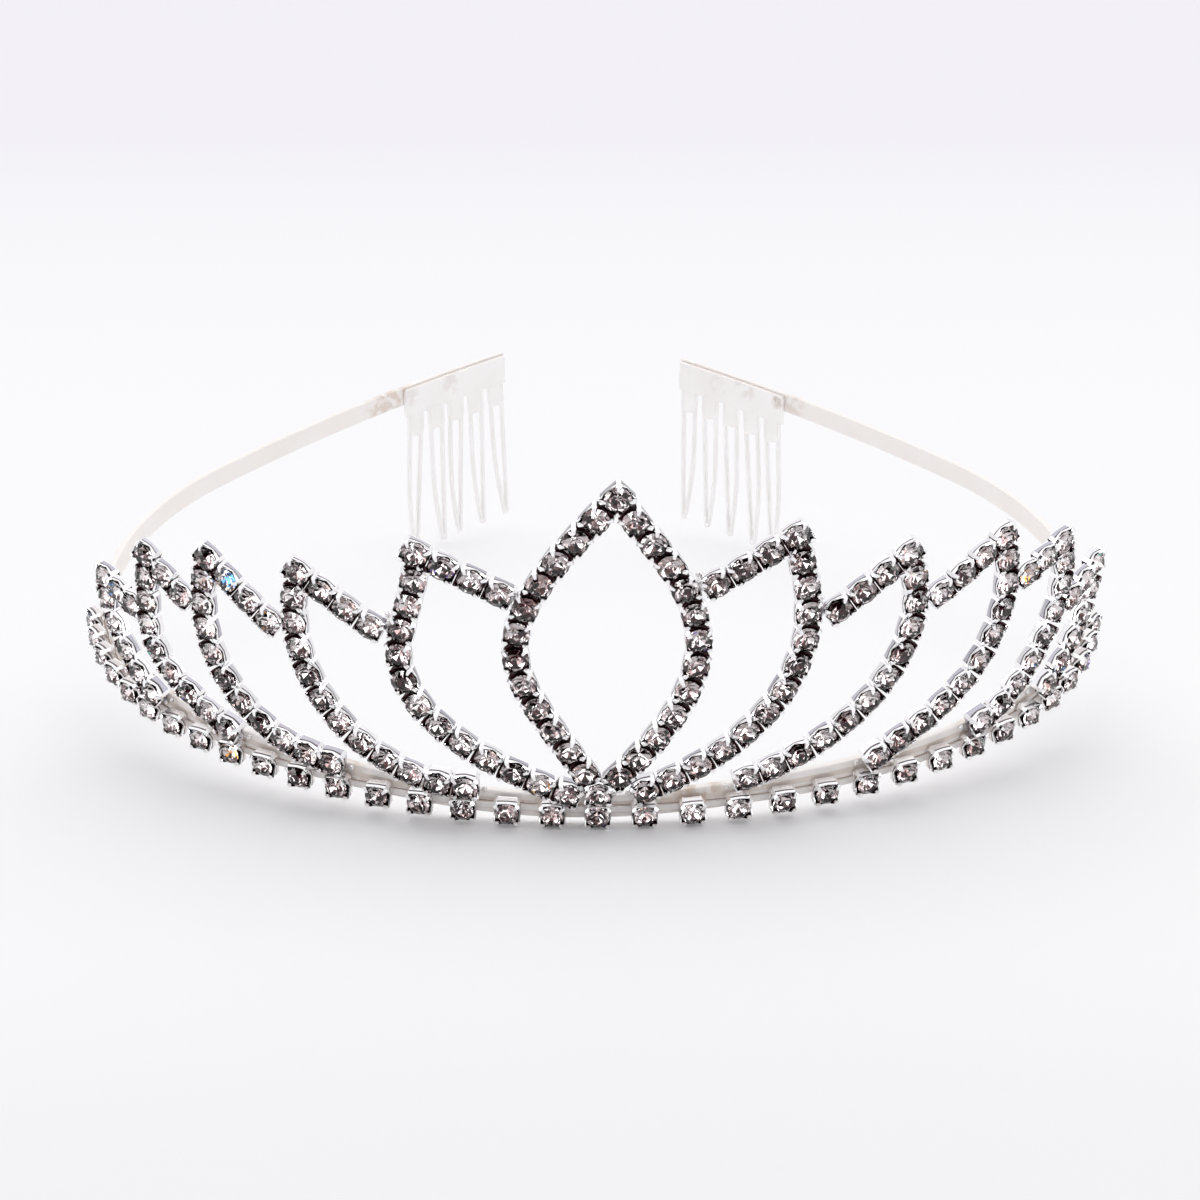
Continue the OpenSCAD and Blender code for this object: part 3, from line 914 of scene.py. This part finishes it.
def link_shape():
    """Bar of unit length between two cups' backs."""
    shell = Shell()
    half = LINK_W / 2
    corners = [(-half, LINK_LOW), (half, LINK_LOW), (half, LINK_HIGH), (-half, LINK_HIGH)]
    shell.tube([shell.ring([(x, y, z) for y, z in corners]) for x in (-0.5, 0.5)], LINK_SHADE)
    return shell.piece("link_shape", silver)


# Radius and height of a drop's rings, the height of its crest, and its sides
BEAD_RINGS = [(0.96, -0.3), (1.0, 0.0), (0.86, 0.26), (0.5, 0.42)]
BEAD_CREST = 0.46
BEAD_SIDES = 12


def bead_shape():
    """Low round drop of solder, one millimetre in radius."""
    shell = Shell()
    turns = [2 * pi * k / BEAD_SIDES for k in range(BEAD_SIDES)]
    rings = [shell.ring([(r * cos(t), r * sin(t), z) for t in turns]) for r, z in BEAD_RINGS]
    shell.face(rings[0][::-1])
    for a, b in zip(rings, rings[1:]):
        shell.band(a, b)
    crest = shell.ring([(0, 0, BEAD_CREST)])[0]
    for k, corner in enumerate(rings[-1]):
        shell.face((corner, rings[-1][(k + 1) % BEAD_SIDES], crest))
    piece = shell.piece("bead_shape", solder)
    piece.data.polygons.foreach_set("use_smooth", [True] * len(piece.data.polygons))
    return piece


# Cups: half width at the back, dip of the side walls, level of the back, and painted shade of the
# rim
petal_cup = marked_cup("petal_cup_shape", 1.42, 0.44, 0.6, PETAL_RIM)
foot_cup = marked_cup("foot_cup_shape", 1.36, 0.44, 0.0, PETAL_RIM)
base_cup = marked_cup("base_cup_shape", 1.46, 0.12, 0.4, BASE_RIM)
stone = stone_shape().piece("stone_shape", clear_crystal, back_foil)
mark_backed(stone)
link_bar = link_shape()
bead = bead_shape()

# The petals' cups are pressed this much longer along the chain, so that they nearly touch
CLOSE_SET = 1.06
# Petal cups below this height sit on the strip itself and reach back to it
ON_STRIP_H = 4.0
# How unevenly cups, drops of solder and stones are set, in degrees, and how far a stone may lie
# turned in its cup
PETAL_UNEVEN = 1.6
BASE_UNEVEN = 1.8
BEAD_UNEVEN = 9
STONE_UNEVEN = 2.5
STONE_SPIN = 22
# Seeds of the draws: the centre's chain, the first chain of each side with the step to the next
# one, what a petal's stones add to it, and the base row's cups and stones
CENTRE_SEED = 3
LEFT_SEED = 11
RIGHT_SEED = 72
SEED_STEP = 7
STONE_SEED = 50
BASE_SEED = 5
BASE_STONE_SEED = 77


def link_frames(run):
    """Frame and size of each link bar between the cups of a run."""
    bars = []
    for a, b in zip(run, run[1:]):
        gap = (face_point(*b[:2], SEAT_PETAL) - face_point(*a[:2], SEAT_PETAL)).length
        roll = degrees(atan2(b[1] - a[1], b[0] - a[0]))
        bars.append((on_face((a[0] + b[0]) / 2, (a[1] + b[1]) / 2, roll, SEAT_PETAL),
                     (gap - CUP_W + 2 * LINK_BITE, 1, 1)))
    return bars


# Stones that flash in colour: strand, place along it, colour
FLASHES = {
    "left_1": {1: "violet", 14: "amber"},
    "left_3": {1: "blue", 3: "amber"},
    "left_4": {4: "violet", 6: "teal", 8: "violet"},
    "left_5": {2: "amber"},
    "right_1": {2: "amber"},
    "right_4": {2: "amber", 7: "blue"},
    "right_5": {0: "teal"},
    "base": {0: "blue", 1: "blue", 8: "amber", 17: "violet", 18: "amber", 31: "violet"},
}


def flash_rows(name, frames, seed):
    """For each stone of a strand: draw and share of its painted flash, and the foil's painted
    shade, which is deeper where the stone looks to the front or far to the side; a few unnamed
    stones get a faint painted flash."""
    chance = Random(seed)
    rows = []
    for i, f in enumerate(frames):
        shade = sum(most * min(1.0, max(0.0, (-f.col[2].y - start) / (end - start)))
                    for most, (start, end) in ((FRONT_SHADE, FRONT_FADE), (FAR_SHADE, FAR_FADE)))
        lucky, tone = chance.random() < FAINT_CHANCE, chance.choice(sorted(SHOWN))
        named = FLASHES.get(name, {}).get(i)
        if named:
            rows.append((SHOWN[named], STRONG_FLASH * PLAIN_TOP, shade))
        else:
            rows.append((SHOWN[tone], FAINT_FLASH * PLAIN_TOP if lucky else 0, shade))
    return rows


# Distance in front from which the side walls without painted shade on their rims are seen, and the
# height there as a share of it
FACING_FROM = 250
FACING_RISE = 0.4


def shaded_rim_down(frame_here, ends):
    """Turns a cup half round where needed, so that the side wall without painted shade on its rim
    looks up and to the front; ends are its near neighbours at the -x and +x ends."""
    middle = frame_here.translation
    front = Vector((-middle.x, -FACING_FROM - middle.y, FACING_FROM * FACING_RISE)).normalized()
    if frame_here.col[1].xyz.dot(front) < 0:
        return frame_here @ turned(180, "Z"), (ends[1], ends[0])
    return frame_here, ends


def set_stones(name, node, frames, seed, flash_seed, size=1.0):
    """One strand's stones in the cups at these frames, as one piece."""
    level = [f @ Matrix.Translation((0, 0, GIRDLE)) for f in frames]
    gems = set_along("cut_stones_" + name, level, stone, clear_crystal, seed, back_foil,
                     sizes=[(size, size, 1)] * len(level), uneven=STONE_UNEVEN, spin=STONE_SPIN,
                     flashes=flash_rows(name, level, flash_seed))
    ride(gems, node)


# Drops of solder are turned by this step from one to the next, and narrowed across to this share
BEAD_TURN = 37
BEAD_NARROW = 0.8


def make_petal(name, places, runs, near, seed, beads):
    """One petal's chain and stones. near says for each cup which of its ends, -x and +x, faces
    another; beads are drops of solder as (s, h, out, radius)."""
    pairs = [shaded_rim_down(set_frame(s, h, roll, SEAT_PETAL), ends)
             for (s, h, roll), ends in zip(places, near)]
    parts = []
    for shape, seated in ((petal_cup, False), (foot_cup, True)):
        mine = [pair for pair, (_, h, _) in zip(pairs, places) if (h < ON_STRIP_H) == seated]
        parts.append(set_along("cups", [f for f, _ in mine], shape, silver, seed,
                               backing=panel_shaded_silver, sizes=[(CLOSE_SET, 1, 1)] * len(mine),
                               near=[ends for _, ends in mine], uneven=PETAL_UNEVEN))
    bars = [bar for run in runs for bar in link_frames(run)]
    parts.append(set_along("links", [f for f, _ in bars], link_bar, silver, seed,
                           sizes=[size for _, size in bars]))
    drops = [on_face(s, h, BEAD_TURN * i, out) for i, (s, h, out, _) in enumerate(beads)]
    parts.append(set_along("beads", drops, bead, solder, seed, uneven=BEAD_UNEVEN,
                           sizes=[(r, r * BEAD_NARROW, r) for *_, r in beads]))
    ride(joined("chain_" + name, parts), "petal_" + name)
    set_stones(name, "stones_" + name, [f for f, _ in pairs], seed + STONE_SEED, seed)


# Drops at a strand's foot on the strip, left, right and below, from the foot and the strip's upper
# part: s, h, out, radius. The last one lies lower where the foot does
FOOT_BEADS = [(-1.7, 0.0, 0.08, 0.45), (1.75, -0.1, 0.08, 0.4), (0.6, 0.0, 0.15, 0.42)]
FOOT_BEAD_H = BAND_LOW + BAND_W - 0.35
FOOT_BEAD_DROP = 1.75
# Drops between the end of a top chain and the next strand: h, out, radius
JOINT_BEADS = [(0.0, 0.7, 0.6), (-0.9, 0.6, 0.5), (1.0, 0.5, 0.45)]


def foot_beads(foot):
    s, h = foot[:2]
    beads = [(s + along, FOOT_BEAD_H + rise, BAND_T / 2 + out, r)
             for along, rise, out, r in FOOT_BEADS]
    last = beads[-1]
    return beads[:-1] + [(last[0], min(h - FOOT_BEAD_DROP, last[1]), *last[2:])]


def joint_beads(end, beside):
    """Drops behind and between the last cup of a top chain and the nearest cup beside it."""
    s, h = min(beside, key=lambda p: (p[0] - end[0]) ** 2 + (p[1] - end[1]) ** 2)[:2]
    return [((s + end[0]) / 2, (h + end[1]) / 2 + rise, SEAT_PETAL + out, r)
            for rise, out, r in JOINT_BEADS]


places, runs = centre_places()
# The two cups at the centre's ends face no neighbour along their own line
make_petal("centre", places, runs, [(0, 0)] * 2 + [(1, 1)] * (len(places) - 2), CENTRE_SEED,
           foot_beads(runs[0][-1]))
for side, rows, beside, first_seed in (("left", LEFT, runs[0], LEFT_SEED),
                                       ("right", RIGHT, runs[1], RIGHT_SEED)):
    for k, row in enumerate(rows):
        places, runs = petal_places(row)
        top, rest = len(runs[0]) - 2, len(runs[1]) - 2
        near = [(0, 1)] + [(1, 1)] * top + [(1, 0)] + [(1, 1)] * rest + [(1, 0)]
        make_petal(f"{side}_{k + 1}", places, runs, near, first_seed + SEED_STEP * k,
                   foot_beads(runs[1][-1]) + joint_beads(runs[0][-1], beside))
        beside = runs[1]


# Base row, its link strip and the headband strip

def rounded(near, far, low, high, r):
    """Outline of a bar's section with rounded corners, as (out, h) pairs."""
    corners = [(far - r, high - r, 0), (near + r, high - r, 90),
               (near + r, low + r, 180), (far - r, low + r, 270)]
    return [(x + r * cos(radians(t + k * 45)), y + r * sin(radians(t + k * 45)))
            for x, y, t in corners for k in (0, 1, 2)]


# The strip hangs lower than its plane round the middle of the front: where, and how far from there
SAG_AT = -6.0
SAG_REACH = 30.0


def sweep(shell, section, marks, edges, sag=0.0, reach=LEFT_LEN):
    """Carries a section along the strip; marks are places along it with a scale of the section.
    edges paints shade on its faces up to reach from the middle of the front, where it hangs lower
    by sag."""
    mid_out = sum(p[0] for p in section) / len(section)
    mid_h = sum(p[1] for p in section) / len(section)
    rings = []
    for s, scale in marks:
        away = min(1.0, abs(s - SAG_AT) / SAG_REACH)
        here = on_strip(s, 0, -sag * max(0.0, cos(pi * away / 2)) ** 2)
        rings.append(shell.ring([
            here @ Vector((0, -(mid_out + (out - mid_out) * scale), mid_h + (h - mid_h) * scale))
            for out, h in section]))
    shell.bar(rings, [edges if abs(s) < reach else 0.0 for s, _ in marks])


# A bar's ends narrow to this share over the last stretch
END_SHARE = 0.86
END_STRETCH = 0.12


def even_marks(start, end, step):
    """Places for sweep from one end of a bar to the other, which narrow at both."""
    count = ceil((end - start) / step)
    marks = [(start, END_SHARE), (start + END_STRETCH, 1.0)]
    marks += [(start + (end - start) * k / count, 1.0) for k in range(1, count)]
    return marks + [(end - END_STRETCH, 1.0), (end, END_SHARE)]


# Distance between two sections of a strip, the radius of its edges, and how far it hangs down
STRIP_STEP = 1.5
BAND_EDGE = 0.16
SAG = 0.85
# Painted shade on the strip's front face, in a band just above the link strip, which stands in
# front of it: its lower and upper edge
SHADED_BAND = (BAND_LOW + 1.45, BAND_LOW + 2.15)
STRIP_SHADE = [0.0] * 12 + [0.35, 0.0]

shell = Shell()
section = rounded(-BAND_T / 2, BAND_T / 2, BAND_LOW, BAND_LOW + BAND_W, BAND_EDGE)
sweep(shell, section + [(BAND_T / 2, h) for h in SHADED_BAND],
      even_marks(-LEFT_LEN, RIGHT_LEN, STRIP_STEP), STRIP_SHADE, SAG, -BASE_STATIONS[0])
ride(shell.piece("headband_strip", strip_plate), "headband")

# The link strip's back, which lies inside the headband, and the radius of its edges. Then the
# painted shade in the corners that it makes with the headband, for the twelve sides of its section
ROW_BACK = 0.3
ROW_EDGE = 0.1
LINK_EDGE_SHADE = [0.35, 0.35, 0.8, 0.0, 0.0, 0.0, 0.0, 0.0, 0.7, 0.4, 0.4, 0.0]
# Size of the base row's stones against the petals' ones
BASE_STONE = 0.92

shell = Shell()
sweep(shell, rounded(ROW_BACK, BAND_T / 2 + STRIP_RISE, -STRIP_W / 2, STRIP_W / 2, ROW_EDGE),
      even_marks(BASE_STATIONS[0], BASE_STATIONS[-1], STRIP_STEP), LINK_EDGE_SHADE)
link_strip = shell.piece("base_link_strip", row_plate)
base_frames = [set_frame(s, 0, 0, SEAT_BASE) for s in BASE_STATIONS]
base_cups = set_along("base_cups", base_frames, base_cup, silver, BASE_SEED,
                      backing=panel_shaded_row_silver, uneven=BASE_UNEVEN)
ride(joined("base_row", [base_cups, link_strip]), "headband")
set_stones("base", "base_stones", base_frames, BASE_STONE_SEED, BASE_SEED, BASE_STONE)


# Combs

def tooth_drop(s, inset, slant):
    """Length of a comb's teeth: the one nearest the front reaches the surface."""
    x, y, turn = on_line(s)
    a, b, tilt = radians(slant), radians(TOOTH_LEAN), radians(TILT)
    down = Vector((-sin(a), cos(a) * sin(b), -cos(a) * cos(b)))
    run = down.x * sin(turn) + down.y * cos(turn)
    start = y + inset * cos(turn)
    return ((SEAT_H + sin(tilt) * start + cos(tilt) * COMB_LOW - TIP_R)
            / -(sin(tilt) * run + cos(tilt) * down.z))


MIRROR = Matrix.Scale(-1, 4, (1, 0, 0))
# Distance between two sections of a plate, and the radius of its edges
PLATE_STEP = 1.0
PLATE_EDGE = 0.14
# Painted shade along a plate's cut upper edge, which lies just below the strip's top and beside it,
# for the twelve sides of its section
TOP_EDGE_SHADE = [0.3, 0.5, 0.55, 0.5, 0.3] + [0.0] * 7
# A tooth's flat root: how far it goes up into the plate, the cut of its two lower corners, and the
# share of it down to which the legs run straight
ROOT_UP = 1.0
ROOT_CUT = (0.45, 0.9)
ROOT_STRAIGHT = 0.6
# Where the legs close in above the tip: height over it, half the distance between them, and bow
CLOSE_AT = 0.6
CLOSE_HALF = 0.32
CLOSE_BOW = 0.05
TOOTH_SIDES = 10
CURVE_POINTS = 6


def smooth_line(knots, steps):
    """Points on a smooth curve through the knots."""
    line = []
    ends = [knots[0] * 2 - knots[1]] + knots + [knots[-1] * 2 - knots[-2]]
    for k in range(1, len(ends) - 2):
        a, b, c, d = ends[k - 1:k + 3]
        for i in range(steps):
            t = i / steps
            line.append(0.5 * ((2 * b) + (c - a) * t + (2 * a - 5 * b + 4 * c - d) * t * t
                               + (3 * b - a - 3 * c + d) * t ** 3))
    return line + [knots[-1]]


def hairpin(base, drop):
    """Middle line of one hairpin tooth, down one leg and up the other."""
    knots = [(TOOTH_W / 2, 0, ROOT_UP), (TOOTH_W / 2, 0, -ROOT_LEN * ROOT_STRAIGHT),
             (TOOTH_W * KNEE_SPREAD, -KNEE_BOW, -drop * KNEE_AT),
             (CLOSE_HALF, -CLOSE_BOW, -drop + CLOSE_AT), (0.0, 0.0, -drop)]
    leg = smooth_line([Vector(k) for k in knots], CURVE_POINTS)
    other = [Vector((-p.x, p.y, p.z)) for p in reversed(leg[:-1])]
    return [base @ p for p in leg + other]


def make_comb(side, end, slants):
    """A comb inside the strip's end at this run: a plate with flat roots and hairpin teeth."""
    inner = BAND_T / 2 + COMB_GAP
    inset = inner + COMB_T / 2
    first = end - COMB_LEN
    pitch = COMB_LEN / len(slants)
    drop = tooth_drop(first + pitch / 2, inset, slants[0])
    step = 1 if side == "right" else -1
    shell = Shell()
    section = rounded(-inner - COMB_T, -inner, COMB_LOW, BAND_LOW + BAND_W - COMB_DROP, PLATE_EDGE)
    marks = [(step * s, k) for s, k in even_marks(first, end, PLATE_STEP)]
    sweep(shell, section, marks[::step], TOP_EDGE_SHADE)
    root_half = (TOOTH_W + TOOTH_D) / 2
    half_t = COMB_T / 2
    levels = [(ROOT_UP, root_half), (-ROOT_LEN + ROOT_CUT[1], root_half),
              (-ROOT_LEN, root_half - ROOT_CUT[0])]
    points, edges = [], []
    for k, slant in enumerate(slants):
        base = (on_strip(first + pitch * (k + 0.5), -inset, COMB_LOW)
                @ turned(TOOTH_LEAN, "X") @ turned(slant, "Y"))
        if side == "left":
            base = SEATED @ MIRROR @ SEATED.inverted() @ base
        rings = []
        for z, half in levels:
            corners = [(-half, -half_t), (half, -half_t), (half, half_t), (-half, half_t)]
            rings.append(shell.ring([base @ Vector((x, y, z)) for x, y in corners])[::step])
        shell.bar(rings, [0.0] * len(rings))
        line = hairpin(base, drop)
        edges += [(i, i + 1) for i in range(len(points), len(points) + len(line) - 1)]
        points += [tuple(p * MM) for p in line]
    mesh = bpy.data.meshes.new("teeth_path")
    mesh.from_pydata(points, edges, [])
    teeth = made_plain(new_object("teeth_path", mesh), "teeth", WIRE,
                       {"Radius": TOOTH_D / 2 * MM, "Sides": TOOTH_SIDES, "Metal": comb_plate})
    plate = shell.piece("plate", comb_plate)
    ride(joined(f"hair_comb_{side}", [plate, teeth]), f"comb_{side}")


make_comb("left", LEFT_LEN - END_GAP, LEFT_SLANT)
make_comb("right", RIGHT_LEN - END_GAP, RIGHT_SLANT)

for shape in (petal_cup, foot_cup, base_cup, stone, link_bar, bead):
    bpy.data.objects.remove(shape)


# Floor, camera, light

# The paper's tone close to the camera, and the tones that it blends to between two lines across
# it, in metres: painted light round the tiara, and painted shade farther back
FLOOR_TONE = (0.872, 0.868, 0.888)
PAINTED_FLOOR_LIGHT = [(-0.14, -0.09, (0.93, 0.93, 0.94)), (-0.05, 1.3, (0.857, 0.848, 0.892))]
FLOOR_REACH = 20.0
FLOOR_ROUGHNESS = 0.9


def make_floor():
    mesh = bpy.data.meshes.new("floor")
    corners = [(-1, -1), (1, -1), (1, 1), (-1, 1)]
    mesh.from_pydata([(x * FLOOR_REACH, y * FLOOR_REACH, 0) for x, y in corners], [],
                     [(0, 1, 2, 3)])
    mat, tree, shader = new_material("pale_floor", FLOOR_TONE)
    depth = split(tree, object_place(tree))["Y"]
    tone = FLOOR_TONE
    # Painted light and shade on the paper, by its distance from the camera
    for start, end, far_tone in PAINTED_FLOOR_LIGHT:
        tone = blended(tree, faded(tree, depth, start, end), tone, far_tone)
    fill(shader, {"Base Color": tone, "Roughness": FLOOR_ROUGHNESS, "Specular IOR Level": 0.0})
    mesh.materials.append(mat)
    new_object("floor", mesh)


# The camera's place in metres, its turns in degrees, and its lens and shift in pixels of the frame
CAMERA_AT = (-0.007574, -0.285376, 0.090566)
CAMERA_PITCH = 16.048
CAMERA_YAW = 1.689
FOCAL_PX = 2111.6
FRAME_PX = 1200
SHIFT_PX = (3.53, -0.75)
SENSOR = 36


def make_camera():
    data = bpy.data.cameras.new("camera")
    data.sensor_width = SENSOR
    data.lens = SENSOR * FOCAL_PX / FRAME_PX
    data.shift_x = SHIFT_PX[0] / FRAME_PX
    data.shift_y = SHIFT_PX[1] / FRAME_PX
    data.clip_start, data.clip_end = 0.01, 100
    camera = new_object("camera", data)
    camera.location = CAMERA_AT
    camera.rotation_euler = Euler((radians(90 - CAMERA_PITCH), 0, radians(-CAMERA_YAW)))
    bpy.context.scene.camera = camera


# Cones of the light: direction, and half widths in degrees where it is full and where it ends
TENT_CONE = ((0, 0.15, 1), 35, 60)
OPENING = ((0, -1, 0.16), 44, 50)
SOFT_CONE = ((0, 0.38, 0.92), 10, 68)
# The tent that the metal mirrors: its tone, its light from all round and from above, and its lamps,
# as direction, half width in degrees and brightness, which end within LAMP_EDGE degrees
TENT_TONE = (0.98, 0.985, 1.0)
TENT_ALL = 0.85
TENT_TOP = 0.35
LAMPS = [((-1, -0.35, 0.4), 14, 3.0), ((1, -0.35, 0.4), 14, 3.0), ((0.45, -1, 0.8), 5, 20.0),
         ((-0.55, -1, 0.55), 4, 20.0), ((0.1, -1, -0.35), 3, 14.0), ((0.0, -0.5, 1), 5, 16.0)]
LAMP_EDGE = 2
# The paper behind, and the soft light that falls on everything from all round and from above
PAPER = (0.888, 0.879, 0.922)
SOFT_TONE = (1.0, 0.995, 1.0)
SOFT_ALL = 0.66
SOFT_TOP = 0.79
# The room of panels that the stones' backs mirror: cells to a unit sphere, tones by the cell's
# draw with dark gaps between, and their light, with more of it from the sides
PANELS = 2.6
PANEL_TONES = [(0.0, (0.014, 0.004, 0.004)), (0.36, (0.15, 0.108, 0.108)),
               (0.43, (0.44, 0.44, 0.44)), (0.86, (0.62, 0.62, 0.62))]
PANEL_LIGHT = 5.2
SIDE_LIGHT = 3.0
# Cones of the room: both sides, halfway to them, the front, and the dark opening above the camera,
# which the front stones' middles mirror. The last three have an even tone, by this share
SIDE_CONE = ((1, -0.35, 0.1), 25, 60)
HALFWAY = (((0.7, -0.7, 0.05), 12, 30), 0.5, (0.36, 0.34, 0.34))
FRONT = (((0, -1, 0.3), 10, 34), 0.8, (0.30, 0.28, 0.28))
ABOVE = (((0, -0.62, 0.78), 10, 28), 0.85, (0.04, 0.025, 0.025))


def make_world():
    """What each kind of ray meets: metal mirrors a white tent with lamps and a dark opening toward
    the camera, stones a room of panels, the camera sees paper, and the rest is soft light."""
    world = bpy.data.worlds.new("studio")
    bpy.context.scene.world = world
    world.use_nodes = True
    tree = world.node_tree
    tree.nodes.clear()
    place = put(tree, "ShaderNodeTexCoord").outputs["Generated"]

    def lobe(direction, inner, outer):
        """1 inside a cone, fading to 0 outside it."""
        toward = Vector(direction).normalized()
        share = flow(tree, "ShaderNodeVectorMath", {0: place, 1: toward}, operation="DOT_PRODUCT")
        return faded(tree, share, cos(radians(outer)), cos(radians(inner)))

    def two_lobes(direction, inner, outer):
        """The same with a second cone at the other side."""
        x, y, z = direction
        return maths(tree, "ADD", lobe((-x, y, z), inner, outer), lobe(direction, inner, outer))

    def scaled(value, factor):
        return maths(tree, "MULTIPLY", value, factor)

    def added(value, other):
        return maths(tree, "ADD", value, other)

    def light(tone, strength):
        return flow(tree, "ShaderNodeBackground", {"Color": tone, "Strength": strength})

    tent = added(scaled(lobe(*TENT_CONE), TENT_TOP), TENT_ALL)
    bright = scaled(tent, maths(tree, "SUBTRACT", 1.0, lobe(*OPENING)))
    for direction, inner, strength in LAMPS:
        bright = added(bright, scaled(lobe(direction, inner, inner + LAMP_EDGE), strength))
    cells = put(tree, "ShaderNodeTexVoronoi", {"Vector": place, "Scale": PANELS}).outputs["Color"]
    draw = put(tree, "ShaderNodeSeparateColor", {"Color": cells}).outputs["Red"]
    tone = stepped(tree, draw, PANEL_TONES)
    for (cone, depth, even_tone), lobes in ((HALFWAY, two_lobes), (FRONT, lobe), (ABOVE, lobe)):
        tone = blended(tree, scaled(lobes(*cone), depth), tone, even_tone)
    room = light(tone, added(scaled(two_lobes(*SIDE_CONE), SIDE_LIGHT), PANEL_LIGHT))
    rays = put(tree, "ShaderNodeLightPath").outputs
    seen = light(SOFT_TONE, added(scaled(lobe(*SOFT_CONE), SOFT_TOP), SOFT_ALL))
    for ray, met in (("Is Glossy Ray", light(TENT_TONE, bright)), ("Is Transmission Ray", room),
                     ("Is Camera Ray", light(PAPER, 1.0))):
        seen = flow(tree, "ShaderNodeMixShader", {"Fac": rays[ray], 1: seen, 2: met})
    put(tree, "ShaderNodeOutputWorld", {"Surface": seen})


make_floor()
make_camera()
make_world()
bpy.context.scene.view_settings.view_transform = "Standard"
